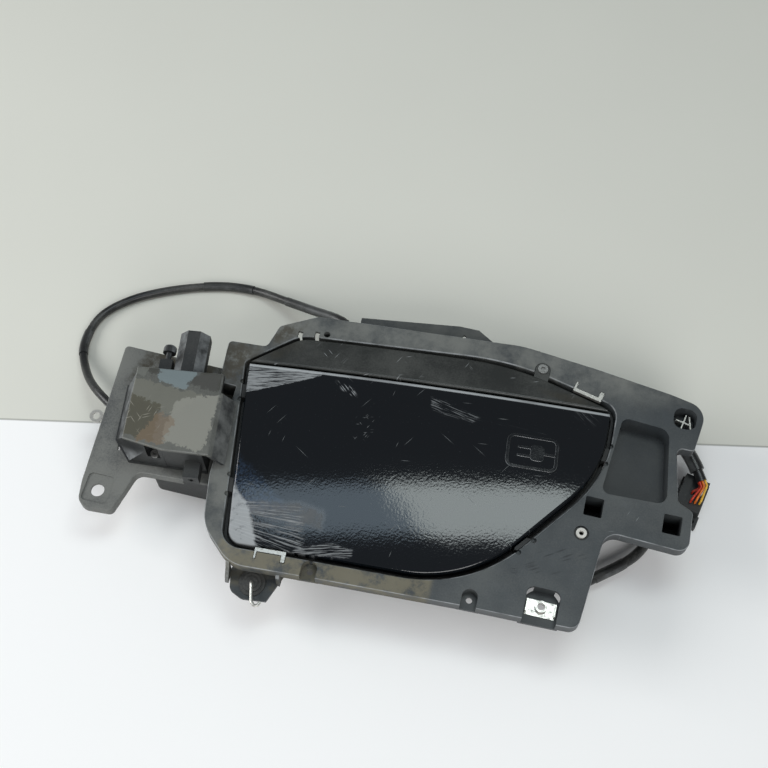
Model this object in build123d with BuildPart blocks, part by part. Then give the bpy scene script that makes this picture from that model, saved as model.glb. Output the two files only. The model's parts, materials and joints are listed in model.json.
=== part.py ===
from build123d import *
import math
import os

# Flap assembly for the charging port in the front of an electric car.
# It lies on its back: X runs along the frame, Y is up when it is fitted, and Z points out of
# the front face. The origin is in the middle of the outer box, on the surface it lies on.
# All sizes are in millimetres.

# Opening in the frame, which the flap and the hinge cover fill between them
opening_width = 267.0
opening_height = 181.0
opening_left = -117.5
opening_bottom = -84.5
opening_right = opening_left + opening_width
opening_top = opening_bottom + opening_height

# Levels above the surface the assembly lies on
face_z = 60.0
crown_z = 69.0
pocket_floor_z = 6.0
ledge_z = 46.0
flap_back_z = 51.0
bracket_z = 39.0

# Walls
frame_wall = 2.5
pocket_wall = 2.0
skin_wall = 2.5
bracket_wall = 3.0
rib_wall = 2.0

# Gaps
flap_gap = 4.0
split_gap = 2.0
fit_gap = 0.4
pin_clearance = 0.05

# Crown of the flap: it falls faster below its top line than above
crown_line_y = 10.0
crown_fall_up = 500.0
crown_fall_down = 420.0
crown_side_drop = 4.4555625
crown_fall_side = (opening_width / 2) ** 2 / (2 * crown_side_drop)

# Hinge
split_slope = 5.5
split_left_y = opening_top - 49.0
hinge_offset = 15.0
hinge_z = 57.0
pin_radius = 2.0
knuckle_radius = 3.6
arm_width = 8.0
cheek_wall = 3.0
cheek_reach = 8.0
side_play = 0.4
arm_reach = 50.0
pin_overhang = 1.5

# Pocket
skirt_depth = 10.0
bezel_depth = 18.0
bezel_wall = 2.0
ledge_width = 6.2
inlet_width = 78.0
inlet_height = 108.0
inlet_corner = 20.0
inlet_screw_span_x = 92.0
inlet_screw_span_y = 80.0
inlet_screw_radius = 3.3

# Latch and lock
latch_width = 18.0
latch_depth = 16.0
latch_top_z = 44.0
plunger_radius = 3.5
plunger_head_radius = 5.0
plunger_gap = 0.3
striker_play = 0.6
lock_pin_radius = 3.0
lock_pin_z = 30.0
lock_eye_wall = 3.0
lock_eye_play = 0.6
lock_gap = 3.0

# Fixings
lug_hole_radius = 4.75
seat_width = 10.7
seat_depth = 8.0
seat_hole_radius = 2.2
socket_width = 12.5
socket_height = 14.0
socket_depth = 12.0
ear_hole_radius = 4.0
boss_sink_radius = 5.2
boss_sink_depth = 1.2
boss_bore_radius = 3.6

# Rounding of the moulded edges
frame_round = 0.9
opening_chamfer = 0.7
skin_round = 1.5
plate_round = 0.8
cover_round = 1.0

# Cords
loop_diameter = 6.4
lead_diameter = 7.4
wire_diameter = 1.6

os.makedirs("parts", exist_ok=True)


# Shared shapes
def opening_outline(inset=0.0):
    """Rounded outline of the opening, moved inwards by the inset."""
    corners = [
        (opening_left, opening_top - 46.5),
        (opening_left + 33.5, opening_top - 16.5),
        (opening_right - 79.5, opening_top),
        (opening_right - 0.5, opening_top - 18.5),
        (opening_right, opening_bottom + 106),
        (opening_right - 74, opening_bottom + 7),
        (opening_left + 24, opening_bottom - 3),
    ]
    with BuildSketch() as outline:
        with BuildLine():
            FilletPolyline(*corners, radius=[4, 25, 200, 12, 95, 100, 14], close=True)
        make_face()
        if inset:
            offset(amount=-inset)
    return outline.sketch


def frame_outline(inset=0.0):
    """Outer outline of the moulded frame with its right arm and its upper left block."""
    corners = [
        (opening_left + 1.5, opening_bottom + 44),
        (opening_left + 8.5, opening_bottom + 8),
        (opening_left + 33.5, opening_bottom - 14.5),
        (opening_left + 92.5, opening_bottom - 10.5),
        (opening_right - 78, opening_bottom - 5),
        (opening_right - 0.5, opening_bottom - 2.5),
        (opening_right + 6.5, opening_bottom + 68.5),
        (opening_right + 62.5, opening_bottom + 66.5),
        (opening_right + 61.5, opening_bottom + 96.5),
        (opening_right + 50.5, opening_bottom + 102),
        (opening_right + 44.5, opening_top - 39.5),
        (opening_right + 56.5, opening_top - 39.5),
        (opening_right + 61.5, opening_top - 4.5),
        (opening_right + 34.5, opening_top + 1),
        (opening_right - 21.5, opening_top + 8.5),
        (opening_right - 74.5, opening_top + 14),
        (opening_left + 73.5, opening_top + 4.5),
        (opening_left + 41.5, opening_top + 2),
        (opening_left + 16, opening_top - 12.5),
        (opening_left + 11.5, opening_top - 31),
        (opening_left - 16.5, opening_top - 33),
        (opening_left - 13.5, opening_top - 67),
        (opening_left - 0.5, opening_top - 67.5),
    ]
    radii = [30, 30, 25, 40, 60, 7, 10, 8, 3, 4, 4, 3, 13, 30, 60, 60, 12, 6, 5, 4, 3, 2, 1]
    with BuildSketch() as outline:
        with BuildLine():
            FilletPolyline(*corners, radius=radii, close=True)
        make_face()
        if inset:
            offset(amount=-inset)
    return outline.sketch


def split_y(x):
    """Height of the line where the flap ends and the hinge cover begins."""
    return split_left_y + (x - opening_left) * math.tan(math.radians(split_slope))


def half_plane(above, gap):
    """Everything above or below the split line, less the gap."""
    sign = 1 if above else -1
    far = sign * 400
    start = (-400, split_y(-400) + sign * gap)
    end = (400, split_y(400) + sign * gap)
    with BuildSketch() as half:
        with BuildLine():
            Polyline(start, end, (400, far), (-400, far), close=True)
        make_face()
    return half.sketch


def crown_block(lowered):
    """Solid under the doubly curved crown, lowered by a wall thickness."""
    axis_z = crown_z - crown_fall_side
    swing = 8.0
    lean = math.radians(swing)
    section = Plane(
        origin=(0, crown_line_y, axis_z),
        x_dir=(0, 1, 0),
        z_dir=(math.cos(lean), 0, math.sin(lean)),
    )
    top = crown_fall_side - lowered
    reach = 140.0
    up_end = (reach, top - crown_fall_up + math.sqrt(crown_fall_up**2 - reach**2))
    down_end = (-reach, top - crown_fall_down + math.sqrt(crown_fall_down**2 - reach**2))
    with BuildPart() as block:
        with BuildSketch(section):
            with BuildLine():
                up = RadiusArc((0, top), up_end, crown_fall_up)
                down = RadiusArc(down_end, (0, top), crown_fall_down)
                Polyline(up @ 1, (reach, top - 70), (-reach, top - 70), down @ 0)
            make_face()
        revolve(
            axis=Axis((0, crown_line_y, axis_z), (0, 1, 0)),
            revolution_arc=2 * swing,
        )
    return block.part


def crown_rim(part):
    """Edges where the crowned top meets the upright sides."""
    top = part.faces().filter_by(lambda face: face.normal_at().Z > 0.9)
    sides = part.faces().filter_by(lambda face: abs(face.normal_at().Z) < 0.1)
    return top.edges() & sides.edges()


def hinge_plane(along):
    """Plane across the hinge pin: its X points away from the flap and its Y points up."""
    turn = math.radians(split_slope)
    direction = Vector(math.cos(turn), math.sin(turn), 0)
    outward = Vector(-math.sin(turn), math.cos(turn), 0)
    middle_x = (opening_left + opening_right) / 2 - 16
    foot = Vector(middle_x, split_y(middle_x), hinge_z)
    return Plane(
        origin=foot + outward * hinge_offset + direction * along,
        x_dir=outward,
        z_dir=direction,
    )


crown_outer = crown_block(0)
crown_inner = crown_block(skin_wall)

# Main frame: flat band, turned-back edges, bezel round the opening
arm_socket_y = opening_bottom + 84.0
near_socket_x = opening_right - 4.5
far_socket_x = opening_right + 49.0
boss_x = opening_right - 9.5
boss_y = opening_bottom + 63.5
left_seat_x = opening_left + 86.5
right_seat_x = opening_right - 73.0
nut_x = opening_right - 26.0
nut_pocket_width = 22.5
nut_pocket_top = opening_bottom + 19.5
nut_y = nut_pocket_top - 10.5
nut_shelf_z = face_z - 10
recess_floor_z = face_z - 17
edge_y = opening_bottom - 30
ear_x = opening_left + 49.0
ear_y = opening_bottom - 18.0
ear_z = 40.0
corner_pocket_x = opening_right + 47.0
corner_pocket_y = opening_top - 16.0
corner_pocket_size = 16.0
corner_pocket_z = face_z - 12
cover_tab_x = opening_right - 57.5
cover_tab_y = opening_top - 2.0
cover_tab_radius = 5.2
tab_seat_z = face_z - 1.2
cover_screw_length = 8.0
notch_radius = 1.9
notch_places = [
    (opening_left + 3, opening_bottom + 118.5),
    (opening_left + 5.2, opening_bottom + 104.5),
    (opening_left + 15.3, opening_bottom + 47.5),
    (opening_left + 17.7, opening_bottom + 33.5),
    (opening_right - 0.5, opening_bottom + 131.5),
    (opening_right - 1.8, opening_bottom + 117.5),
    (opening_right - 48, opening_bottom + 40),
    (opening_right - 39.5, opening_bottom + 50.5),
]
upper_screw_x = opening_left - 9.0
upper_screw_y = opening_top - 55.5
lower_screw_x = opening_left + 4.0
lower_screw_y = opening_bottom + 54.0
lower_clip_x = opening_left + 58.5
lower_clip_y = opening_bottom - 2.2
upper_clip_x = opening_right - 22.5
upper_clip_y = opening_top - 11.5
clip_length = 21.0
clip_depth = 7.5
clip_bar = 2.6
clip_thin = 1.2
clip_gap = 0.8
mark_x = opening_right - 48.6
mark_y = opening_bottom + 27.1
mark_radius = 2.2
blind_x = opening_left + 51.5
blind_y = opening_top - 11.2
blind_radius = 2.4
blind_depth = 8.0
lower_clip_turn = 4.0
upper_clip_turn = -13.0


def recess_outline(outset=0.0):
    """Sunken panel in the right arm."""
    corners = [
        (opening_right + 4.5, opening_top - 25.5),
        (opening_right + 37.5, opening_top - 27.5),
        (opening_right + 43.5, opening_bottom + 97.5),
        (opening_right - 1.5, opening_bottom + 95.5),
    ]
    with BuildSketch() as outline:
        with BuildLine():
            FilletPolyline(*corners, radius=[5, 8, 7, 5], close=True)
        make_face()
        if outset:
            offset(amount=outset)
    return outline.sketch


def seat_outline(x, width, top):
    """U shape that is open towards the lower edge of the frame."""
    with BuildSketch() as outline:
        with Locations((x, top - width / 2)):
            Circle(width / 2)
        with Locations((x, (top - width / 2 + edge_y) / 2)):
            Rectangle(width, top - width / 2 - edge_y)
    return outline.sketch


def retainer_outline(x, y, turn, away, gap=0.0):
    """U shape of a sheet metal retainer, whose legs point away from the flap."""
    with BuildSketch() as outline:
        with Locations(Location((x, y), turn)):
            with Locations((0, -away * (clip_depth - clip_bar) / 2)):
                Rectangle(clip_length + gap, clip_bar + gap)
            with Locations(((clip_length - clip_bar) / 2, 0)):
                Rectangle(clip_bar + gap, clip_depth + gap)
            with Locations(((clip_thin - clip_length) / 2, 0)):
                Rectangle(clip_thin + gap, clip_depth + gap)
    return outline.sketch


retainer_places = {
    "lower_retainer": (lower_clip_x, lower_clip_y, lower_clip_turn, -1),
    "upper_retainer": (upper_clip_x, upper_clip_y, upper_clip_turn, 1),
}
left_seat_top = opening_bottom + 0.8
right_seat_top = opening_bottom + 7.5
seat_floor_z = face_z - seat_depth

with BuildPart() as main_frame:
    with BuildSketch(Plane.XY.offset(face_z - frame_wall)):
        add(frame_outline())
    extrude(amount=frame_wall)
    with BuildSketch(Plane.XY.offset(face_z - skirt_depth)):
        add(frame_outline())
        add(frame_outline(frame_wall), mode=Mode.SUBTRACT)
    extrude(amount=skirt_depth)
    with BuildSketch(Plane.XY.offset(face_z - bezel_depth)):
        add(opening_outline(-bezel_wall))
        add(frame_outline(), mode=Mode.INTERSECT)
    extrude(amount=bezel_depth)
    with BuildSketch(Plane.XY.offset(face_z - bezel_depth)):
        add(opening_outline())
    extrude(amount=2 * bezel_depth, mode=Mode.SUBTRACT)
    fillet(main_frame.faces().sort_by(Axis.Z)[-1].outer_wire().edges(), frame_round)
    chamfer(main_frame.faces().sort_by(Axis.Z)[-1].inner_wires()[0].edges(), opening_chamfer)
    # upper left block reaches down to the side bracket
    with BuildSketch(Plane.XY.offset(bracket_z + bracket_wall)):
        with Locations((opening_left - 8, opening_top - 50)):
            Rectangle(19, 36)
        add(frame_outline(), mode=Mode.INTERSECT)
    extrude(amount=face_z - bracket_z - bracket_wall - frame_wall)
    # pads over the lower end of the side bracket
    with BuildSketch(Plane.XY.offset(bracket_z + bracket_wall)):
        with Locations((lower_screw_x, lower_screw_y)):
            Rectangle(9, 12)
        add(frame_outline(), mode=Mode.INTERSECT)
        add(opening_outline(-bezel_wall), mode=Mode.SUBTRACT)
    extrude(amount=face_z - bracket_z - bracket_wall - frame_wall)
    # tray of the sunken panel
    with BuildSketch(Plane.XY.offset(recess_floor_z - frame_wall)):
        add(recess_outline(frame_wall))
        add(opening_outline(), mode=Mode.SUBTRACT)
    extrude(amount=face_z - recess_floor_z)
    # ducts behind the two square sockets
    with BuildSketch(Plane.XY.offset(face_z - socket_depth - frame_wall)):
        with Locations((near_socket_x, arm_socket_y), (far_socket_x, arm_socket_y)):
            Rectangle(socket_width + 2 * rib_wall, socket_height + 2 * rib_wall)
        add(opening_outline(-bezel_wall), mode=Mode.SUBTRACT)
    extrude(amount=socket_depth)
    # walls round the two screw seats and the pocket for the spring nut
    with BuildSketch(Plane.XY.offset(seat_floor_z - frame_wall)):
        add(seat_outline(left_seat_x, seat_width + 2 * rib_wall, left_seat_top + rib_wall))
        add(seat_outline(right_seat_x, seat_width + 2 * rib_wall, right_seat_top + rib_wall))
        add(frame_outline(), mode=Mode.INTERSECT)
        add(opening_outline(-bezel_wall), mode=Mode.SUBTRACT)
    extrude(amount=seat_depth)
    with BuildSketch(Plane.XY.offset(nut_shelf_z - frame_wall)):
        add(seat_outline(nut_x, nut_pocket_width + 2 * rib_wall, nut_pocket_top + rib_wall))
        add(frame_outline(), mode=Mode.INTERSECT)
        add(opening_outline(-bezel_wall), mode=Mode.SUBTRACT)
    extrude(amount=face_z - nut_shelf_z)
    # tongue above the top edge
    with BuildSketch(Plane.XY.offset(face_z - skirt_depth - rib_wall)):
        with BuildLine():
            Polyline(
                (opening_left + 71.5, opening_top - 0.5),
                (opening_left + 71, opening_top + 14),
                (opening_left + 143.5, opening_top + 24.5),
                (opening_left + 158, opening_top + 24.5),
                (opening_left + 169.5, opening_top + 17.5),
                (opening_left + 169.5, opening_top + 5.5),
                close=True,
            )
        make_face()
    extrude(amount=rib_wall)
    # lower left ear with its two gussets
    with BuildSketch(Plane.XY.offset(ear_z - frame_wall)):
        with BuildLine():
            FilletPolyline(
                (ear_x - 18.5, ear_y + 13),
                (ear_x - 13.5, ear_y - 8),
                (ear_x - 4, ear_y - 12),
                (ear_x + 12.5, ear_y - 10),
                (ear_x + 20.5, ear_y + 13),
                radius=[7, 6, 6, 1, 1],
                close=True,
            )
        make_face()
    extrude(amount=frame_wall)
    with BuildSketch(Plane.YZ.offset(ear_x - 18.5)):
        with BuildLine():
            Polyline(
                (ear_y + 6, face_z - frame_wall),
                (ear_y + 6, ear_z - frame_wall),
                (ear_y - 3, ear_z - frame_wall),
                (ear_y - 1, ear_z + 4),
                (ear_y + 3, face_z - skirt_depth),
                close=True,
            )
        make_face()
    extrude(amount=frame_wall)
    with BuildSketch(Plane.YZ.offset(ear_x + 16)):
        with BuildLine():
            Polyline(
                (ear_y + 8, face_z - frame_wall),
                (ear_y + 8, ear_z - frame_wall),
                (ear_y + 3, ear_z - frame_wall),
                (ear_y + 4, face_z - skirt_depth),
                close=True,
            )
        make_face()
    extrude(amount=frame_wall)
    # round mark on the face
    with BuildSketch(Plane.XY.offset(face_z)):
        with Locations((mark_x, mark_y)):
            Circle(mark_radius)
            Circle(mark_radius / 2, mode=Mode.SUBTRACT)
    extrude(amount=0.4)
    # blind boss at the upper left edge of the opening
    with BuildSketch(Plane.XY.offset(face_z - blind_depth - frame_wall)):
        with Locations((blind_x, blind_y)):
            Circle(blind_radius + rib_wall)
    extrude(amount=blind_depth)
    # ribs between the bezel and the turned-back edge
    with BuildSketch(Plane.XY.offset(face_z - skirt_depth + 2)):
        with GridLocations(26, 0, 7, 1):
            with Locations((opening_left + 133.5 - 16, opening_top - 2)):
                Rectangle(rib_wall, 30)
        with Locations((opening_right - 50, opening_bottom + 14), (opening_right - 4, opening_bottom + 30)):
            Rectangle(rib_wall, 40)
        add(frame_outline(), mode=Mode.INTERSECT)
        add(opening_outline(-bezel_wall), mode=Mode.SUBTRACT)
    extrude(amount=skirt_depth - frame_wall - 2)
    # pocket for the clip in the upper right corner
    with BuildSketch(Plane.XY.offset(corner_pocket_z - frame_wall)):
        with Locations((corner_pocket_x, corner_pocket_y)):
            RectangleRounded(corner_pocket_size + 2 * rib_wall, corner_pocket_size + 2 * rib_wall, 7)
        add(frame_outline(), mode=Mode.INTERSECT)
        add(recess_outline(), mode=Mode.SUBTRACT)
    extrude(amount=face_z - corner_pocket_z)
    # post under the screw of the hinge cover
    with BuildSketch(Plane.XY.offset(tab_seat_z - cover_screw_length - rib_wall)):
        with Locations((cover_tab_x, cover_tab_y)):
            Circle(cover_tab_radius)
    extrude(amount=cover_screw_length + rib_wall)
    # hollows and holes
    with BuildSketch(Plane.XY.offset(bracket_z + bracket_wall)):
        with Locations((opening_left - 9, opening_top - 49)):
            Rectangle(12, 27)
        with Locations((upper_screw_x, upper_screw_y)):
            Circle(4, mode=Mode.SUBTRACT)
    extrude(amount=face_z - bracket_z - bracket_wall - frame_wall, mode=Mode.SUBTRACT)
    with BuildSketch(Plane.XY.offset(corner_pocket_z)):
        with Locations((corner_pocket_x, corner_pocket_y)):
            RectangleRounded(corner_pocket_size, corner_pocket_size, 6)
    extrude(amount=face_z - corner_pocket_z, mode=Mode.SUBTRACT)
    with BuildSketch(Plane.XY.offset(tab_seat_z)):
        with Locations((cover_tab_x, cover_tab_y)):
            Circle(cover_tab_radius + fit_gap)
        with Locations((cover_tab_x, cover_tab_y - 6)):
            Rectangle(2 * (cover_tab_radius + fit_gap), 12)
    extrude(amount=frame_wall, mode=Mode.SUBTRACT)
    with BuildSketch(Plane.XY.offset(tab_seat_z - cover_screw_length)):
        with Locations((cover_tab_x, cover_tab_y)):
            Circle(pin_radius)
    extrude(amount=cover_screw_length, mode=Mode.SUBTRACT)
    with BuildSketch(Plane.XY.offset(face_z - frame_wall)):
        with Locations(*notch_places):
            Circle(notch_radius)
        for place in retainer_places.values():
            add(retainer_outline(*place, gap=clip_gap))
    extrude(amount=frame_wall, mode=Mode.SUBTRACT)
    with BuildSketch(Plane.XY.offset(face_z - bezel_depth)):
        add(opening_outline())
    extrude(amount=tab_seat_z - face_z + bezel_depth, mode=Mode.SUBTRACT)
    with BuildSketch(Plane.XY.offset(recess_floor_z)):
        add(recess_outline())
    extrude(amount=face_z - recess_floor_z, mode=Mode.SUBTRACT)
    with BuildSketch(Plane.XY.offset(face_z - 2 * socket_depth)):
        with Locations((near_socket_x, arm_socket_y), (far_socket_x, arm_socket_y)):
            RectangleRounded(socket_width, socket_height, 1)
    extrude(amount=2 * socket_depth, mode=Mode.SUBTRACT)
    with BuildSketch(Plane.XY.offset(seat_floor_z)):
        add(seat_outline(left_seat_x, seat_width, left_seat_top))
        add(seat_outline(right_seat_x, seat_width, right_seat_top))
    extrude(amount=seat_depth, mode=Mode.SUBTRACT)
    with BuildSketch(Plane.XY.offset(seat_floor_z - frame_wall)):
        with Locations(
            (left_seat_x, left_seat_top - seat_width / 2),
            (right_seat_x, right_seat_top - seat_width / 2),
        ):
            Circle(seat_hole_radius)
    extrude(amount=frame_wall, mode=Mode.SUBTRACT)
    with BuildSketch(Plane.XY.offset(nut_shelf_z)):
        with Locations((nut_x, (nut_pocket_top + edge_y) / 2)):
            RectangleRounded(nut_pocket_width, nut_pocket_top - edge_y, 5)
    extrude(amount=face_z - nut_shelf_z, mode=Mode.SUBTRACT)
    with BuildSketch(Plane.XY.offset(nut_shelf_z - frame_wall)):
        with Locations((nut_x, nut_y)):
            Circle(3.2)
    extrude(amount=frame_wall, mode=Mode.SUBTRACT)
    with BuildSketch(Plane.XY.offset(ear_z - frame_wall)):
        with Locations((ear_x, ear_y)):
            Circle(ear_hole_radius)
    extrude(amount=frame_wall, mode=Mode.SUBTRACT)
    with BuildSketch(Plane.XY.offset(bracket_z + bracket_wall)):
        with Locations((upper_screw_x, upper_screw_y), (lower_screw_x, lower_screw_y)):
            Circle(pin_radius)
    extrude(amount=8, mode=Mode.SUBTRACT)
    with BuildSketch(Plane.XY.offset(face_z - boss_sink_depth)):
        with Locations((boss_x, boss_y)):
            Circle(boss_sink_radius)
    extrude(amount=boss_sink_depth, mode=Mode.SUBTRACT)
    with BuildSketch(Plane.XY.offset(face_z - frame_wall)):
        with Locations((boss_x, boss_y)):
            Circle(boss_bore_radius)
    extrude(amount=frame_wall, mode=Mode.SUBTRACT)
    with BuildSketch(Plane.XY.offset(face_z - skirt_depth - rib_wall)):
        with Locations((opening_left + 148.5, opening_top + 16.5)):
            Circle(1.4)
    extrude(amount=rib_wall, mode=Mode.SUBTRACT)
    # see-through windows at the upper left edge of the opening
    with BuildSketch(Plane.XY.offset(face_z - bezel_depth)):
        with Locations((opening_left + 32.5, opening_top - 15.8), (opening_left + 44.5, opening_top - 13.2)):
            Rectangle(3.4, 5)
    extrude(amount=bezel_depth, mode=Mode.SUBTRACT)
    with BuildSketch(Plane.XY.offset(face_z - blind_depth)):
        with Locations((blind_x, blind_y)):
            Circle(blind_radius)
    extrude(amount=blind_depth, mode=Mode.SUBTRACT)
main_frame.part.label = "main_frame"
export_step(main_frame.part, "parts/main_frame.step")


# Pocket housing: rim and ledge inside the bezel, tub, hinge cheeks
tab_wall = 2.8
tab_width = 10.0
wall_slope = math.atan2(23.5, opening_height - 46.5)
lock_y = opening_bottom + 64.5
latch_x = opening_left + 57.5
latch_y = opening_bottom + 25.0
inlet_x = (opening_left + opening_right) / 2 - 14
inlet_y = opening_bottom + 72.5
rim_top_z = face_z - 8
tub_inset = ledge_width + pocket_wall
floor_top_z = pocket_floor_z + frame_wall
cheek_offset = arm_width / 2 + side_play + cheek_wall / 2


def left_wall_x(y, inset=0.0):
    """Left edge of the opening at a height, moved inwards by the inset."""
    down = (opening_top - 46.5 - y) / (opening_height - 46.5)
    return opening_left + 23.5 * down + inset / math.cos(wall_slope)


tab_places = [
    (left_wall_x(opening_bottom + 111.5, 2), opening_bottom + 111.5),
    (left_wall_x(opening_bottom + 40.5, 2), opening_bottom + 40.5),
    (opening_right - 4, opening_bottom + 124.5),
    (opening_right - 46, opening_bottom + 46.5),
]

with BuildPart() as pocket_housing:
    with BuildSketch(Plane.XY.offset(ledge_z)):
        add(opening_outline(fit_gap))
        add(opening_outline(fit_gap + pocket_wall), mode=Mode.SUBTRACT)
    extrude(amount=rim_top_z - ledge_z)
    with BuildSketch(Plane.XY.offset(ledge_z)):
        add(opening_outline(fit_gap))
        add(opening_outline(tub_inset), mode=Mode.SUBTRACT)
    extrude(amount=pocket_wall)
    with BuildSketch():
        add(opening_outline(ledge_width))
        add(opening_outline(tub_inset), mode=Mode.SUBTRACT)
    extrude(amount=ledge_z + pocket_wall)
    with BuildSketch(Plane.XY.offset(pocket_floor_z)):
        add(opening_outline(ledge_width + pocket_wall / 2))
    extrude(amount=frame_wall)
    # snap tabs that show between the pairs of notches in the frame
    for tab_place in tab_places:
        with BuildSketch(Plane.XY.offset(ledge_z)):
            add(opening_outline(fit_gap))
            add(opening_outline(fit_gap + tab_wall), mode=Mode.SUBTRACT)
            with Locations(tab_place):
                Rectangle(tab_width, tab_width, mode=Mode.INTERSECT)
        extrude(amount=face_z - ledge_z - 1)
    # cheeks that carry the hinge pin
    for arm_at in (-arm_reach, arm_reach):
        for side in (-1, 1):
            with BuildSketch(hinge_plane(arm_at + side * cheek_offset)):
                Circle(knuckle_radius)
                with BuildLine():
                    Polyline(
                        (0, knuckle_radius),
                        (cheek_reach, 0.5),
                        (cheek_reach, ledge_z - hinge_z),
                        (2, ledge_z - hinge_z),
                        (-knuckle_radius, 0),
                        close=True,
                    )
                make_face()
                Circle(pin_radius, mode=Mode.SUBTRACT)
            extrude(amount=cheek_wall / 2, both=True)
    # opening for the charging inlet and its screws
    with BuildSketch(Plane.XY.offset(pocket_floor_z)):
        with Locations((inlet_x, inlet_y)):
            RectangleRounded(inlet_width, inlet_height, inlet_corner)
        with Locations((inlet_x, inlet_y)):
            with GridLocations(inlet_screw_span_x, inlet_screw_span_y, 2, 2):
                Circle(inlet_screw_radius)
    extrude(amount=frame_wall, mode=Mode.SUBTRACT)
    with BuildSketch(Plane.YZ.offset(left_wall_x(lock_y))):
        with Locations((lock_y, lock_pin_z)):
            Circle(lock_pin_radius + 0.6)
    extrude(amount=tub_inset + 6, mode=Mode.SUBTRACT)
pocket_housing.part.label = "pocket_housing"
export_step(pocket_housing.part, "parts/pocket_housing.step")

# Rubber seal on the ledge, round the three free edges of the flap
seal_inner = ledge_width - 0.4
with BuildPart() as flap_seal:
    with BuildSketch(Plane.XY.offset(ledge_z + pocket_wall)):
        add(opening_outline(fit_gap + tab_wall + 0.2))
        add(opening_outline(seal_inner), mode=Mode.SUBTRACT)
        add(half_plane(False, 2), mode=Mode.INTERSECT)
    extrude(amount=1.4)
    with BuildSketch(Plane.XY.offset(ledge_z + pocket_wall + 1.4)):
        add(opening_outline(fit_gap + tab_wall + 0.7))
        add(opening_outline(seal_inner - 0.5), mode=Mode.SUBTRACT)
        add(half_plane(False, 2), mode=Mode.INTERSECT)
    extrude(amount=1.2)
flap_seal.part.label = "flap_seal"
export_step(flap_seal.part, "parts/flap_seal.step")

# Hinge cover: the fixed panel above the flap, with the same crown
with BuildPart() as cover_hollow:
    with BuildSketch(Plane.XY.offset(ledge_z)):
        add(opening_outline(flap_gap + pocket_wall))
    extrude(amount=crown_z - ledge_z)
    add(crown_inner, mode=Mode.INTERSECT)
with BuildPart() as hinge_cover:
    with BuildSketch(Plane.XY.offset(ledge_z + pocket_wall)):
        add(opening_outline(flap_gap))
        add(half_plane(True, split_gap / 2), mode=Mode.INTERSECT)
    extrude(amount=crown_z - ledge_z)
    add(crown_outer, mode=Mode.INTERSECT)
    fillet(crown_rim(hinge_cover), skin_round)
    add(cover_hollow.part, mode=Mode.SUBTRACT)
    with BuildSketch(Plane.XY.offset(tab_seat_z)):
        with Locations((cover_tab_x, cover_tab_y)):
            Circle(cover_tab_radius)
        with Locations((cover_tab_x, cover_tab_y - 6)):
            Rectangle(2 * cover_tab_radius, 8)
        add(opening_outline(flap_gap + pocket_wall), mode=Mode.SUBTRACT)
    extrude(amount=1.8)
    with BuildSketch(Plane.XY.offset(tab_seat_z)):
        with Locations((cover_tab_x, cover_tab_y)):
            Circle(pin_radius)
    extrude(amount=1.8, mode=Mode.SUBTRACT)
hinge_cover.part.label = "hinge_cover"
export_step(hinge_cover.part, "parts/hinge_cover.step")

with BuildPart() as cover_screw:
    with BuildSketch(Plane.XY.offset(tab_seat_z + 1.8)):
        with Locations((cover_tab_x, cover_tab_y)):
            Circle(3.6)
            RegularPolygon(radius=1.7, side_count=6, mode=Mode.SUBTRACT)
    extrude(amount=1.4)
    with BuildSketch(Plane.XY.offset(tab_seat_z - cover_screw_length)):
        with Locations((cover_tab_x, cover_tab_y)):
            Circle(pin_radius)
    extrude(amount=cover_screw_length + 1.9)
cover_screw.part.label = "cover_screw"
export_step(cover_screw.part, "parts/cover_screw.step")

# Flap: crowned skin with a turned-back rim
with BuildPart() as flap_hollow:
    with BuildSketch(Plane.XY.offset(flap_back_z)):
        add(opening_outline(flap_gap + pocket_wall))
    extrude(amount=crown_z - flap_back_z)
    add(crown_inner, mode=Mode.INTERSECT)
with BuildPart() as flap_skin:
    with BuildSketch(Plane.XY.offset(flap_back_z)):
        add(opening_outline(flap_gap))
        add(half_plane(False, split_gap / 2), mode=Mode.INTERSECT)
    extrude(amount=crown_z - flap_back_z)
    add(crown_outer, mode=Mode.INTERSECT)
    fillet(crown_rim(flap_skin), skin_round)
    add(flap_hollow.part, mode=Mode.SUBTRACT)
flap_skin.part.label = "flap_skin"
export_step(flap_skin.part, "parts/flap_skin.step")

# Inner panel of the flap, with ribs on its back and posts up to the skin
inner_gap = flap_gap + pocket_wall
with BuildPart() as flap_inner:
    with BuildSketch(Plane.XY.offset(flap_back_z)):
        add(opening_outline(inner_gap))
        add(half_plane(False, hinge_offset / 3), mode=Mode.INTERSECT)
    extrude(amount=pocket_wall)
    with BuildSketch(Plane.XY.offset(flap_back_z + pocket_wall)):
        with Locations((inlet_x, inlet_y)):
            with GridLocations(80, 46, 3, 2):
                Circle(4)
    extrude(amount=crown_z - flap_back_z)
    add(crown_inner, mode=Mode.INTERSECT)
    with BuildSketch(Plane.XY.offset(flap_back_z - rib_wall)):
        with Locations((inlet_x, inlet_y)):
            with GridLocations(160, 0, 2, 1):
                Rectangle(rib_wall, 62)
            with GridLocations(0, 62, 1, 2):
                Rectangle(160 + rib_wall, rib_wall)
            with GridLocations(53, 0, 2, 1):
                Rectangle(rib_wall, 62)
        add(opening_outline(tub_inset + 2), mode=Mode.INTERSECT)
    extrude(amount=rib_wall)
flap_inner.part.label = "flap_inner"
export_step(flap_inner.part, "parts/flap_inner.step")

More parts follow.
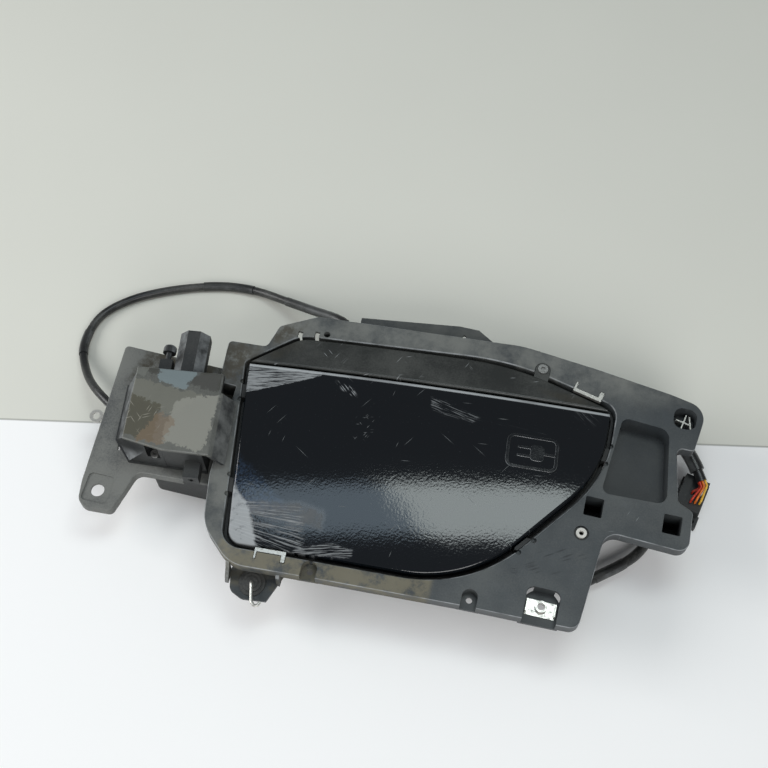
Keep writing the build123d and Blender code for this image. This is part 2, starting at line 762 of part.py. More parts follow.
# Gooseneck arms: each loops under the edge of the hinge cover
foot_v = flap_back_z - hinge_z
arm_wall = 4.0
neck_v = foot_v - 14.5
for name, arm_at in (("hinge_arm_left", -arm_reach), ("hinge_arm_right", arm_reach)):
    with BuildPart() as hinge_arm:
        with BuildSketch(hinge_plane(arm_at)):
            with BuildLine():
                FilletPolyline(
                    (0, 0),
                    (-2, neck_v),
                    (-22, neck_v),
                    (-22, foot_v - arm_wall / 2),
                    radius=[7, 8],
                )
            trace(line_width=arm_wall)
            Circle(knuckle_radius)
            with Locations((-29, foot_v - arm_wall / 2)):
                Rectangle(18, arm_wall)
            Circle(pin_radius + pin_clearance, mode=Mode.SUBTRACT)
        extrude(amount=arm_width / 2, both=True)
    hinge_arm.part.label = name
    export_step(hinge_arm.part, f"parts/{name}.step")

pin_length = 2 * (arm_reach + cheek_offset + cheek_wall / 2 + pin_overhang)
with BuildPart() as hinge_pin:
    with BuildSketch(hinge_plane(-pin_length / 2)):
        Circle(pin_radius)
    extrude(amount=pin_length)
hinge_pin.part.label = "hinge_pin"
export_step(hinge_pin.part, "parts/hinge_pin.step")

# Screws that hold the arms to the inner panel, from below
with BuildPart() as arm_screws:
    for arm_at in (-arm_reach, arm_reach):
        seat = hinge_plane(arm_at)
        for along in (-28, -34.5):
            head = seat.from_local_coords(Vector(along, foot_v - arm_wall, 0))
            with BuildSketch(Plane(origin=head, z_dir=(0, 0, -1))):
                Circle(2.6)
                RegularPolygon(radius=1.3, side_count=6, mode=Mode.SUBTRACT)
            extrude(amount=1.4)
arm_screws.part.label = "arm_screws"
export_step(arm_screws.part, "parts/arm_screws.step")

# Torsion spring round the pin, between the arms
spring_wire = 1.2
spring_turns = 7
spring_radius = pin_radius + spring_wire / 2 + 0.4
spring_pitch = 1.6
with BuildPart() as hinge_spring:
    start = hinge_plane(-spring_turns * spring_pitch / 2)
    with BuildLine():
        coil = Helix(
            pitch=spring_pitch,
            height=spring_turns * spring_pitch,
            radius=spring_radius,
            center=start.origin,
            direction=start.z_dir,
        )
    with BuildSketch(Plane(origin=coil @ 0, z_dir=coil % 0)):
        RegularPolygon(radius=spring_wire / 2, side_count=6)
    sweep(path=coil, is_frenet=True)
hinge_spring.part.label = "hinge_spring"
export_step(hinge_spring.part, "parts/hinge_spring.step")

# Push latch: body on the floor of the pocket, plunger under the flap
with BuildPart() as latch_body:
    with BuildSketch(Plane.XY.offset(floor_top_z)):
        with Locations((latch_x, latch_y)):
            RectangleRounded(latch_width + 8, latch_depth, 2)
    extrude(amount=3)
    with BuildSketch(Plane.XY.offset(floor_top_z)):
        with Locations((latch_x, latch_y)):
            RectangleRounded(latch_width, latch_depth, 3)
    extrude(amount=latch_top_z - floor_top_z)
    with BuildSketch(Plane.XY.offset(latch_top_z - 28)):
        with Locations((latch_x, latch_y)):
            Circle(plunger_radius + pin_clearance)
    extrude(amount=28, mode=Mode.SUBTRACT)
latch_body.part.label = "latch_body"
export_step(latch_body.part, "parts/latch_body.step")

plunger_top_z = flap_back_z - plunger_gap
with BuildPart() as latch_plunger:
    with BuildSketch(Plane.XY.offset(latch_top_z - 24)):
        with Locations((latch_x, latch_y)):
            Circle(plunger_radius)
    extrude(amount=plunger_top_z - latch_top_z + 24)
    with BuildSketch(Plane.XY.offset(plunger_top_z - 2)):
        with Locations((latch_x, latch_y)):
            Circle(plunger_head_radius)
    extrude(amount=2)
latch_plunger.part.label = "latch_plunger"
export_step(latch_plunger.part, "parts/latch_plunger.step")

with BuildPart() as latch_striker:
    with BuildSketch(Plane.XY.offset(flap_back_z - 4)):
        with Locations((latch_x, latch_y)):
            Circle(plunger_head_radius + striker_play + pocket_wall)
            Circle(plunger_head_radius + striker_play, mode=Mode.SUBTRACT)
    extrude(amount=4)
latch_striker.part.label = "latch_striker"
export_step(latch_striker.part, "parts/latch_striker.step")

# Lock: actuator behind the side bracket, pin, and the eye on the flap
lock_pin_tip_x = left_wall_x(lock_y, tub_inset) + 0.3
lock_eye_x = lock_pin_tip_x + lock_gap
actuator_right = left_wall_x(opening_bottom + 100, ledge_width) - 13
actuator_width = 46.0
actuator_height = 46.0
actuator_bottom = opening_bottom + 44.5
actuator_lift = 3.0
pin_rear_x = actuator_right - 22
with BuildPart() as lock_actuator:
    with BuildSketch(Plane.XY.offset(actuator_lift)):
        with Locations((actuator_right - actuator_width / 2, actuator_bottom + actuator_height / 2)):
            RectangleRounded(actuator_width, actuator_height, 5)
    extrude(amount=bracket_z - actuator_lift)
    fillet(lock_actuator.edges().group_by(Axis.Z)[0], 2)
    with BuildSketch(Plane.YZ.offset(actuator_right)):
        with Locations((lock_y, lock_pin_z)):
            Circle(6)
    extrude(amount=left_wall_x(lock_y, ledge_width) - 1.2 - actuator_right)
    with BuildSketch(Plane.YZ.offset(pin_rear_x - 1)):
        with Locations((lock_y, lock_pin_z)):
            Circle(lock_pin_radius + pin_clearance)
    extrude(amount=60, mode=Mode.SUBTRACT)
lock_actuator.part.label = "lock_actuator"
export_step(lock_actuator.part, "parts/lock_actuator.step")

with BuildPart() as lock_pin:
    with BuildSketch(Plane.YZ.offset(pin_rear_x)):
        with Locations((lock_y, lock_pin_z)):
            Circle(lock_pin_radius)
    extrude(amount=lock_pin_tip_x - pin_rear_x)
    chamfer(lock_pin.edges().group_by(Axis.X)[-1], 1)
lock_pin.part.label = "lock_pin"
export_step(lock_pin.part, "parts/lock_pin.step")

with BuildPart() as lock_eye:
    with BuildSketch(Plane.YZ.offset(lock_eye_x)):
        with Locations((lock_y, lock_pin_z)):
            Circle(lock_pin_radius + lock_eye_play + 3)
        with Locations((lock_y, (lock_pin_z + flap_back_z) / 2)):
            Rectangle(2 * (lock_pin_radius + lock_eye_play + 3), flap_back_z - lock_pin_z)
        with Locations((lock_y, lock_pin_z)):
            Circle(lock_pin_radius + lock_eye_play, mode=Mode.SUBTRACT)
    extrude(amount=lock_eye_wall)
    with BuildSketch(Plane.XY.offset(flap_back_z - rib_wall)):
        with Locations((lock_eye_x + 6, lock_y)):
            Rectangle(12, 20)
    extrude(amount=rib_wall)
lock_eye.part.label = "lock_eye"
export_step(lock_eye.part, "parts/lock_eye.step")

# Side bracket: pressed plate with a turned-back edge and the fixing lug
bracket_top_z = bracket_z + bracket_wall
lug_x = opening_left - 75.5
lug_y = opening_bottom + 20.5


def bracket_outline(inset=0.0):
    corners = [
        (opening_left - 94.5, opening_top - 46.5),
        (opening_left - 88.5, opening_bottom + 24),
        (opening_left - 85.5, opening_bottom + 6),
        (opening_left - 61, opening_bottom + 7.5),
        (opening_left - 53, opening_bottom + 40),
        (opening_left + 9.5, opening_bottom + 43.5),
        (opening_left + 5.5, opening_top - 48),
    ]
    with BuildSketch() as outline:
        with BuildLine():
            FilletPolyline(*corners, radius=[3, 40, 9, 4, 7, 2, 2], close=True)
        make_face()
        if inset:
            offset(amount=-inset)
    return outline.sketch


bracket_screw_places = [(upper_screw_x, upper_screw_y), (lower_screw_x, lower_screw_y)]
with BuildPart() as side_bracket:
    with BuildSketch(Plane.XY.offset(bracket_z)):
        add(bracket_outline())
    extrude(amount=bracket_wall)
    fillet(side_bracket.faces().sort_by(Axis.Z)[-1].edges(), plate_round)
    with BuildSketch(Plane.XY.offset(bracket_z - 5)):
        add(bracket_outline())
        add(bracket_outline(bracket_wall - 1), mode=Mode.SUBTRACT)
        with Locations((opening_left, (opening_bottom + opening_top) / 2)):
            Rectangle(40, opening_height, mode=Mode.SUBTRACT)
    extrude(amount=5)
    with BuildSketch(Plane.XY.offset(bracket_top_z - 1)):
        with Locations((lug_x, lug_y + 1)):
            RectangleRounded(19, 21, 3)
    extrude(amount=1, mode=Mode.SUBTRACT)
    with BuildSketch(Plane.XY.offset(bracket_z)):
        with Locations((lug_x, lug_y)):
            Circle(lug_hole_radius)
        with Locations(*bracket_screw_places):
            Circle(pin_radius)
        with Locations((opening_left - 72, opening_bottom + 57)):
            Rectangle(1.6, 9, rotation=8)
    extrude(amount=bracket_wall, mode=Mode.SUBTRACT)
side_bracket.part.label = "side_bracket"
export_step(side_bracket.part, "parts/side_bracket.step")

with BuildPart() as bracket_screws:
    with BuildSketch(Plane.XY.offset(bracket_z - 2.4)):
        with Locations(*bracket_screw_places):
            Circle(4)
            RegularPolygon(radius=1.8, side_count=6, mode=Mode.SUBTRACT)
    extrude(amount=2.4)
    with BuildSketch(Plane.XY.offset(bracket_z)):
        with Locations(*bracket_screw_places):
            Circle(pin_radius)
    extrude(amount=bracket_wall + 8)
bracket_screws.part.label = "bracket_screws"
export_step(bracket_screws.part, "parts/bracket_screws.step")


def outline_of(corners):
    """Flat shape with straight sides."""
    with BuildSketch() as outline:
        with BuildLine():
            Polyline(*corners, close=True)
        make_face()
    return outline.sketch


# Parking sensor in front of the bracket, turned a little against the frame
sensor_turn = math.radians(8)
sensor_plane = Plane(
    origin=(opening_left - 32.5, opening_bottom + 79.5, 0),
    x_dir=(math.cos(sensor_turn), math.sin(sensor_turn), 0),
    z_dir=(0, 0, 1),
)
sensor_lid_z = 76.0
collar_z = 65.3
collar_radius = 11.5
collar_end = 62.0
collar_depth = 20.0
adjuster_x = -14.2
adjuster_z = 66.0
lower_adjuster_x = 16.0
lower_adjuster_z = 55.0
notch_x = -11.5
notch_y = -28.4


def sensor_cross_plane(x, y, z):
    """Plane across the sensor's own Y direction; the plane's Y points down."""
    return Plane(
        origin=sensor_plane.from_local_coords(Vector(x, y, z)),
        x_dir=sensor_plane.x_dir,
        z_dir=sensor_plane.y_dir,
    )


with BuildPart() as sensor_housing:
    with BuildSketch(sensor_plane.offset(bracket_top_z)):
        add(outline_of([(-45, 29), (24, 29), (24, -33), (-33, -30), (-45, -15)]))
    extrude(amount=bracket_wall)
    with BuildSketch(sensor_plane.offset(bracket_top_z + bracket_wall)):
        add(outline_of([(-44, 28), (24, 28), (24, -32.5), (-32, -29.5), (-44, -14)]))
    with BuildSketch(sensor_plane.offset(sensor_lid_z)):
        add(outline_of([(-31, 27.5), (24, 27.5), (24, -32.5), (-10, -31), (-31, -26)]))
    loft()
    with BuildSketch(sensor_plane.offset(bracket_top_z + 2 * bracket_wall)):
        add(outline_of([(-41, 25), (21, 25), (21, -29.5), (-30, -26.5), (-41, -12)]))
    with BuildSketch(sensor_plane.offset(sensor_lid_z)):
        add(outline_of([(-28, 24.5), (21, 24.5), (21, -29.5), (-9, -28), (-28, -23.5)]))
    loft(mode=Mode.SUBTRACT)
    # well with the mounting screw
    with BuildSketch(sensor_plane.offset(bracket_top_z + bracket_wall)):
        with Locations((notch_x, notch_y)):
            Circle(7.4)
        add(outline_of([(-31, 27.5), (24, 27.5), (24, -32.5), (-10, -31), (-31, -26)]), mode=Mode.INTERSECT)
    extrude(amount=sensor_lid_z - bracket_top_z - bracket_wall)
    with BuildSketch(sensor_plane.offset(face_z - 2)):
        with Locations((notch_x, notch_y)):
            Circle(5.2)
    extrude(amount=sensor_lid_z - face_z + 2, mode=Mode.SUBTRACT)
    with BuildSketch(sensor_plane.offset(face_z - 12)):
        with Locations((notch_x, notch_y)):
            Circle(1.5)
    extrude(amount=10, mode=Mode.SUBTRACT)
    # flats for the two adjusters
    with BuildSketch(sensor_cross_plane(adjuster_x, 22, adjuster_z)):
        Rectangle(10, 10)
    extrude(amount=6.2)
    with BuildSketch(sensor_cross_plane(lower_adjuster_x, -33, lower_adjuster_z)):
        Rectangle(11, 10)
    extrude(amount=5)
    # collar for the plug of the car's wiring
    with BuildSketch(sensor_cross_plane(3, 24, collar_z)):
        RegularPolygon(radius=collar_radius, side_count=8, rotation=22.5)
    extrude(amount=collar_end - 24)
    with BuildSketch(sensor_cross_plane(3, collar_end - collar_depth, collar_z)):
        RegularPolygon(radius=collar_radius - 1.7, side_count=8, rotation=22.5)
    extrude(amount=collar_depth, mode=Mode.SUBTRACT)
sensor_housing.part.label = "sensor_housing"
export_step(sensor_housing.part, "parts/sensor_housing.step")

cover_top_z = sensor_lid_z + 2.5
with BuildPart() as sensor_cover:
    with BuildSketch(sensor_cross_plane(0, -34, 0)):
        add(
            outline_of(
                [
                    (-31.5, -sensor_lid_z),
                    (-31.5, -cover_top_z),
                    (29, -cover_top_z),
                    (39, -cover_top_z + 14.5),
                    (36.5, -cover_top_z + 15.5),
                    (27.5, -sensor_lid_z),
                ]
            )
        )
    extrude(amount=62.5)
    with BuildSketch(sensor_plane.offset(face_z)):
        add(
            outline_of(
                [
                    (-31.5, 28.5),
                    (30, 28.5),
                    (30, 14.5),
                    (40, 14.5),
                    (40, -34),
                    (-3, -33),
                    (-31.5, -27),
                ]
            )
        )
    extrude(amount=cover_top_z - face_z, mode=Mode.INTERSECT)
    fillet(sensor_cover.edges().group_by(Axis.Z)[-1], cover_round)
sensor_cover.part.label = "sensor_cover"
export_step(sensor_cover.part, "parts/sensor_cover.step")

with BuildPart() as connector_pins:
    with BuildSketch(sensor_cross_plane(3, collar_end - collar_depth, collar_z)):
        Rectangle(12, 7)
    extrude(amount=1)
    with BuildSketch(sensor_cross_plane(3, collar_end - collar_depth + 1, collar_z)):
        with GridLocations(3.5, 3, 3, 2):
            Rectangle(0.9, 0.9)
    extrude(amount=11)
connector_pins.part.label = "connector_pins"
export_step(connector_pins.part, "parts/connector_pins.step")

with BuildPart() as sensor_screw:
    with BuildSketch(sensor_plane.offset(face_z - 2)):
        with Locations((notch_x, notch_y)):
            Circle(3)
            RegularPolygon(radius=1.4, side_count=6, mode=Mode.SUBTRACT)
    extrude(amount=1.8)
    with BuildSketch(sensor_plane.offset(face_z - 12)):
        with Locations((notch_x, notch_y)):
            Circle(1.5)
    extrude(amount=10)
sensor_screw.part.label = "sensor_screw"
export_step(sensor_screw.part, "parts/sensor_screw.step")

# Adjusters: a pale clip on the housing with a headed screw in it
with BuildPart() as adjuster_clip:
    with BuildSketch(sensor_cross_plane(adjuster_x, 28.2, adjuster_z)):
        Rectangle(9, 9)
        Circle(pin_radius, mode=Mode.SUBTRACT)
    extrude(amount=12)
adjuster_clip.part.label = "adjuster_clip"
export_step(adjuster_clip.part, "parts/adjuster_clip.step")

with BuildPart() as adjuster_screw:
    with BuildSketch(sensor_cross_plane(adjuster_x, 30, adjuster_z)):
        Circle(pin_radius)
    extrude(amount=17)
    with BuildSketch(sensor_cross_plane(adjuster_x, 47, adjuster_z)):
        Circle(4.7)
    extrude(amount=6)
    fillet(adjuster_screw.edges().group_by(Axis.Y)[-1], 2.5)
adjuster_screw.part.label = "adjuster_screw"
export_step(adjuster_screw.part, "parts/adjuster_screw.step")

with BuildPart() as lower_adjuster:
    with BuildSketch(sensor_cross_plane(lower_adjuster_x, -44, lower_adjuster_z)):
        Rectangle(11, 10)
    extrude(amount=11)
    with BuildSketch(sensor_cross_plane(lower_adjuster_x, -44, lower_adjuster_z)):
        Circle(pin_radius)
    extrude(amount=8, mode=Mode.SUBTRACT)
lower_adjuster.part.label = "lower_adjuster"
export_step(lower_adjuster.part, "parts/lower_adjuster.step")

# Small fittings on the frame
with BuildPart() as spring_nut:
    with BuildSketch(Plane.XY.offset(nut_shelf_z)):
        with Locations((nut_x, nut_y - 1)):
            Rectangle(20, 11)
        with Locations((nut_x, nut_y)):
            Circle(2.6, mode=Mode.SUBTRACT)
    extrude(amount=0.8)
    with BuildSketch(Plane.XY.offset(nut_shelf_z + 0.8)):
        with Locations((nut_x, nut_y)):
            Circle(4)
            Circle(2.6, mode=Mode.SUBTRACT)
        with Locations((nut_x - 9.6, nut_y - 1), (nut_x + 9.6, nut_y - 1)):
            Rectangle(0.8, 8)
    extrude(amount=3)
spring_nut.part.label = "spring_nut"
export_step(spring_nut.part, "parts/spring_nut.step")

with BuildPart() as corner_clip:
    with BuildSketch(Plane.XY.offset(corner_pocket_z)):
        with Locations((corner_pocket_x, corner_pocket_y)):
            Rectangle(0.9, corner_pocket_size - 3, rotation=-12)
            Rectangle(corner_pocket_size - 5, 0.9, rotation=-12)
        with Locations((corner_pocket_x + 4.5, corner_pocket_y + 0.5)):
            Rectangle(0.9, corner_pocket_size - 6, rotation=12)
    extrude(amount=6)
corner_clip.part.label = "corner_clip"
export_step(corner_clip.part, "parts/corner_clip.step")

with BuildPart() as boss_ring:
    with BuildSketch(Plane.XY.offset(face_z - frame_wall)):
        with Locations((boss_x, boss_y)):
            Circle(boss_bore_radius)
            Circle(boss_bore_radius - 1.9, mode=Mode.SUBTRACT)
    extrude(amount=frame_wall + 0.3)
boss_ring.part.label = "boss_ring"
export_step(boss_ring.part, "parts/boss_ring.step")

for name, place in retainer_places.items():
    with BuildPart() as retainer:
        with BuildSketch(Plane.XY.offset(face_z - frame_wall)):
            add(retainer_outline(*place))
        extrude(amount=frame_wall + 0.4)
    retainer.part.label = name
    export_step(retainer.part, f"parts/{name}.step")

grommet_bore = 1.1
with BuildPart() as ear_grommet:
    with BuildSketch(Plane.XY.offset(ear_z - frame_wall)):
        with Locations((ear_x, ear_y)):
            Circle(ear_hole_radius)
    extrude(amount=frame_wall)
    for step, radius in enumerate((9.0, 6.5, 4.0)):
        with BuildSketch(Plane.XY.offset(ear_z + step)):
            with Locations((ear_x, ear_y)):
                Circle(radius)
        extrude(amount=1)
    with BuildSketch(Plane.XY.offset(ear_z - frame_wall)):
        with Locations((ear_x, ear_y)):
            Circle(grommet_bore)
    extrude(amount=10, mode=Mode.SUBTRACT)
ear_grommet.part.label = "ear_grommet"
export_step(ear_grommet.part, "parts/ear_grommet.step")

with BuildPart() as wire_hook:
    with BuildLine() as hook_line:
        FilletPolyline(
            (ear_x, ear_y, ear_z - 4),
            (ear_x, ear_y, ear_z + 6),
            (ear_x + 4, ear_y - 14, ear_z + 6),
            (ear_x + 8, -119.9, ear_z + 6),
            (ear_x + 10, ear_y - 13, ear_z + 6),
            radius=[2.5, 3, 2.2],
        )
    with BuildSketch(Plane(origin=hook_line.line @ 0, z_dir=hook_line.line % 0)):
        Circle(grommet_bore)
    sweep()
wire_hook.part.label = "wire_hook"
export_step(wire_hook.part, "parts/wire_hook.step")

# Cords: each is a tube along straight runs joined by arcs


def cord_radii(route):
    """Radius of the arc at each corner of the route, from its shorter run and its turn."""
    radii = []
    for before, at, after in zip(route, route[1:], route[2:]):
        run_in = Vector(*at) - Vector(*before)
        run_out = Vector(*after) - Vector(*at)
        half_turn = math.radians(run_in.get_angle(run_out)) / 2
        radii.append(0.45 * min(run_in.length, run_out.length) / math.tan(half_turn))
    return radii


def report_cord(name, part, line, diameter, radii):
    """Print the facts of a cord and compare its volume with section times length."""
    section = math.pi * diameter**2 / 4
    length = line.wire().length
    print(name, "length", round(length, 1), "smallest radius", round(min(radii), 1))
    print(name, "volume ratio", round(part.volume / (section * length), 3))


actuator_left = actuator_right - actuator_width
junction_x = opening_left + 79.5
junction_y = opening_top - 12.3
loop_start_z = 34.0
loop_route = [
    (junction_x, junction_y, loop_start_z),
    (-45, 97, 40),
    (-60, 109.5, 42),
    (-85, 119, 29),
    (-116, 132, 12.5),
    (-141, 140, 4.5),
    (-168, 138.5, 3.3),
    (-194, 130.5, 3.25),
    (-216, 121, 3.3),
    (-237, 108.5, 3.25),
    (-254, 91, 3.3),
    (-258.5, 73, 3.25),
    (-257, 55, 4.2),
    (-247, 38, 10),
    (-235, 23.5, 19),
    (-219, 11, 26),
    (-201, 1.5, 24.5),
    (-184, -6, 22),
    (actuator_left, -6, 22),
]
with BuildPart() as loop_junction:
    with BuildSketch(Plane(origin=(junction_x, junction_y, loop_start_z), z_dir=(7.0, -12.8, -6.0))):
        Circle(loop_diameter / 2 + 2)
    extrude(until=Until.NEXT, target=pocket_housing.part)
loop_junction.part.label = "loop_junction"
export_step(loop_junction.part, "parts/loop_junction.step")

loop_radii = cord_radii(loop_route)
with BuildPart() as loop_cable:
    with BuildLine() as loop_line:
        FilletPolyline(*loop_route, radius=loop_radii)
    with BuildSketch(Plane(origin=loop_line.line @ 0, z_dir=loop_line.line % 0)):
        Circle(loop_diameter / 2)
    sweep()
report_cord("loop_cable", loop_cable.part, loop_line, loop_diameter, loop_radii)
loop_cable.part.label = "loop_cable"
export_step(loop_cable.part, "parts/loop_cable.step")

with BuildPart() as ring_lug:
    with BuildSketch(Plane.XY.offset(bracket_z - 7.2)):
        with Locations((opening_left - 99.1, opening_bottom + 77.9)):
            Circle(5)
            Circle(2.7, mode=Mode.SUBTRACT)
    extrude(amount=1.2)
    with BuildSketch(Plane.YZ.offset(opening_left - 94.6)):
        with Locations((opening_bottom + 77.9, bracket_z - 6.6)):
            Circle(1.6)
    extrude(amount=12)
ring_lug.part.label = "ring_lug"
export_step(ring_lug.part, "parts/ring_lug.step")

lead_route = [
    (106, -35.9, 19),
    (117, -43.5, 16.5),
    (131.5, -46.8, 13.5),
    (147, -42, 11),
    (161.5, -29.5, 10),
    (175, -18.4, 9.5),
    (186, -6.5, 9.2),
    (192, 8, 10),
    (190, 23, 13),
    (181, 37.5, 16),
    (170, 51, 18.5),
    (167.5, 68, 21),
    (178.5, 81.5, 23),
    (196, 83.5, 24.5),
    (211, 70, 24),
    (220.5, 54, 21.5),
]
with BuildPart() as lead_gland:
    with BuildSketch(Plane(origin=lead_route[0], z_dir=(-11, 7.6, 2.5))):
        Circle(lead_diameter / 2 + 2.5)
    extrude(until=Until.NEXT, target=pocket_housing.part)
lead_gland.part.label = "lead_gland"
export_step(lead_gland.part, "parts/lead_gland.step")

lead_radii = cord_radii(lead_route)
with BuildPart() as lower_lead:
    with BuildLine() as lead_line:
        FilletPolyline(*lead_route, radius=lead_radii)
    with BuildSketch(Plane(origin=lead_line.line @ 0, z_dir=lead_line.line % 0)):
        Circle(lead_diameter / 2)
    sweep()
report_cord("lower_lead", lower_lead.part, lead_line, lead_diameter, lead_radii)
lower_lead.part.label = "lower_lead"
export_step(lower_lead.part, "parts/lower_lead.step")

# Plug and socket at the end of the lower lead, lying on the floor
plug_x = opening_right + 67.0
plug_y = opening_bottom + 131.0
plug_turn = -12.0
plug_top_z = 14.0
with BuildPart() as harness_socket:
    with BuildSketch():
        with Locations(Location((plug_x, plug_y), plug_turn)):
            Rectangle(20, 28)
            with Locations((7, -16.5)):
                Rectangle(8, 9)
    extrude(amount=6)
    with BuildSketch():
        with Locations(Location((plug_x, plug_y), plug_turn)):
            with Locations((7, -17)):
                Circle(1.8)
    extrude(amount=6, mode=Mode.SUBTRACT)
harness_socket.part.label = "harness_socket"
export_step(harness_socket.part, "parts/harness_socket.step")

with BuildPart() as harness_plug:
    with BuildSketch(Plane.XY.offset(6)):
        with Locations(Location((plug_x, plug_y), plug_turn)):
            Rectangle(18, 26)
    extrude(amount=plug_top_z - 6)
    with BuildSketch(Plane.XY.offset(plug_top_z)):
        with Locations(Location((plug_x, plug_y), plug_turn)):
            with Locations((-6, 0)):
                Rectangle(6, 24)
    extrude(amount=3)
harness_plug.part.label = "harness_plug"
export_step(harness_plug.part, "parts/harness_plug.step")

lead_end = Vector(*lead_route[-1])
lead_heading = (lead_end - Vector(*lead_route[-2])).normalized()
lead_side = lead_heading.cross(Vector(0, 0, 1)).normalized()
lead_rise = lead_side.cross(lead_heading)
lane_step = 2.15
far_row = (1.05, plug_y - 7, plug_top_z + 7)
near_row = (-1.1, plug_y, plug_top_z + 3.5)
wire_lanes = (
    ("wires_red", ((1, far_row), (1, near_row), (0, near_row))),
    ("wires_orange", ((0, far_row),)),
    ("wires_yellow", ((-1, far_row),)),
    ("wires_white", ((-1, near_row),)),
)
for name, lanes in wire_lanes:
    with BuildPart() as wires:
        for lane, (rise, end_y, knee_z) in lanes:
            wire_start = lead_end + lead_side * lane * lane_step + lead_rise * rise
            end_x = plug_x + 2.4 - 3.2 * lane
            with BuildLine() as wire_line:
                FilletPolyline(
                    wire_start,
                    wire_start + lead_heading * 4,
                    (end_x, end_y, knee_z),
                    (end_x, end_y, plug_top_z),
                    radius=[2.2, 1.6],
                )
            with BuildSketch(Plane(origin=wire_line.line @ 0, z_dir=wire_line.line % 0)):
                Circle(wire_diameter / 2)
            sweep()
    wires.part.label = name
    export_step(wires.part, f"parts/{name}.step")
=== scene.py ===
import json
import math

import bmesh
import bpy
from bpy.props import FloatProperty, FloatVectorProperty, PointerProperty
from mathutils import Matrix, Vector


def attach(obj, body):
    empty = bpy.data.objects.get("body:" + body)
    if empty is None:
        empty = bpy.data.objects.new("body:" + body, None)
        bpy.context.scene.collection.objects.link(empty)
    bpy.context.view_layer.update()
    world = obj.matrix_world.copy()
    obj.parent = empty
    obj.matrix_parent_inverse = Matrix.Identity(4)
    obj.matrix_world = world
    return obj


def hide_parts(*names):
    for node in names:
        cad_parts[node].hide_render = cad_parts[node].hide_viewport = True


bl_info = {
    "name": "Charging Port Flap Looks",
    "version": (1, 0, 0),
    "blender": (4, 5, 0),
    "location": "View3D > Sidebar > Port Flap",
    "description": "Finishes, cords and small details around the packed frame of a charging port flap",
    "category": "Object",
}

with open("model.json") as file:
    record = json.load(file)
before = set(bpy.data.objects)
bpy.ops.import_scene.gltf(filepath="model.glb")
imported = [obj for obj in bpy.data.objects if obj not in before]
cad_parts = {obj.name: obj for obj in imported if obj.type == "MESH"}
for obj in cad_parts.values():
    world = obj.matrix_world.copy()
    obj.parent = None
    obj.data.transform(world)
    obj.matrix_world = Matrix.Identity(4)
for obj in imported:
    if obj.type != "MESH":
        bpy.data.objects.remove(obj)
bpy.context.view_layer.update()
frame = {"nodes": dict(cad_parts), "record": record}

# Points that the camera and the fill lights look at, in metres
AIM_POINT = (-0.016, 0.056, 0.060)
LIGHTS_AIM = (0.0, 0.0, 0.05)

# Far edge of the near sheet of the floor: its Y at X = 0 in metres, and its rise with X
FLOOR_EDGE_Y = 0.0482
FLOOR_EDGE_SLOPE = 0.2072
FLOOR_EDGE_SOFTNESS = 0.0006

# Height at which the outlines of the painted patches lie, in metres
MASK_HEIGHT = 0.06

# Places, sizes and heights on the part, in millimetres; the crown's falls are radii
BOSS_PLACE = (140.0, -21.0)
SOCKET_PLACES = {"near_socket_well": (145.0, -0.5), "far_socket_well": (198.5, -0.5)}
SOCKET_SIZE = (12.7, 14.2)
SOCKET_WELL_TOP = 46.5
WELL_WALL = 1.2
BOSS_FLOOR_HEIGHT = 53.0
BOSS_FLOOR_RADIUS = 3.7
BOSS_FLOOR_THICKNESS = 1.5
CROWN_TOP = 69.0
CROWN_LINE = 10.0
CROWN_FALL_UP = 500.0
CROWN_FALL_DOWN = 420.0
CROWN_FALL_SIDE = 2000.0
SIGN_PLACE = (96.6, 26.0)
SIGN_SUNK = 0.3


class StageSettings(bpy.types.PropertyGroup):
    """Camera, floor and lights."""

    distance: FloatProperty(
        name="Camera distance",
        description="From the camera to the point it looks at",
        default=0.87,
        unit="LENGTH",
    )
    azimuth: FloatProperty(
        name="Azimuth",
        description="Turn of the camera to the right of the front",
        default=math.radians(14),
        subtype="ANGLE",
    )
    elevation: FloatProperty(
        name="Elevation",
        description="Height of the camera as an angle above the floor",
        default=math.radians(63),
        subtype="ANGLE",
    )
    view_angle: FloatProperty(
        name="View angle",
        description="Width of the camera's view",
        default=math.radians(35),
        subtype="ANGLE",
    )
    floor_size: FloatProperty(
        name="Floor size",
        description="Side of the square floor",
        default=5.0,
        unit="LENGTH",
    )
    near_floor: FloatVectorProperty(
        name="Near floor",
        description="Colour of the sheet that the part lies on",
        subtype="COLOR",
        default=(0.93, 0.93, 0.925),
        min=0,
        max=1,
    )
    far_floor: FloatVectorProperty(
        name="Far floor",
        description="Colour of the floor behind the sheet",
        subtype="COLOR",
        default=(0.66, 0.66, 0.6),
        min=0,
        max=1,
    )
    overhead_power: FloatProperty(
        name="Overhead power",
        description="Power of the soft box above the part, in watts",
        default=4.0,
    )
    overhead_turn: FloatProperty(
        name="Overhead turn",
        description="Turn of the long soft box above the part",
        default=math.radians(28),
        subtype="ANGLE",
    )
    fill_power: FloatProperty(
        name="Fill power",
        description="Power of each of the two large fill lights, in watts",
        default=17.0,
    )
    sky_strength: FloatProperty(
        name="Sky strength",
        description="Strength of the even light from all round",
        default=0.24,
    )


class CordSettings(bpy.types.PropertyGroup):
    """Diameters of the cords."""

    loop_diameter: FloatProperty(
        name="Loop diameter",
        description="Diameter of the cable that arches to the lock",
        default=0.0064,
        unit="LENGTH",
    )
    lead_diameter: FloatProperty(
        name="Lead diameter",
        description="Diameter of the lead with the plug",
        default=0.0074,
        unit="LENGTH",
    )


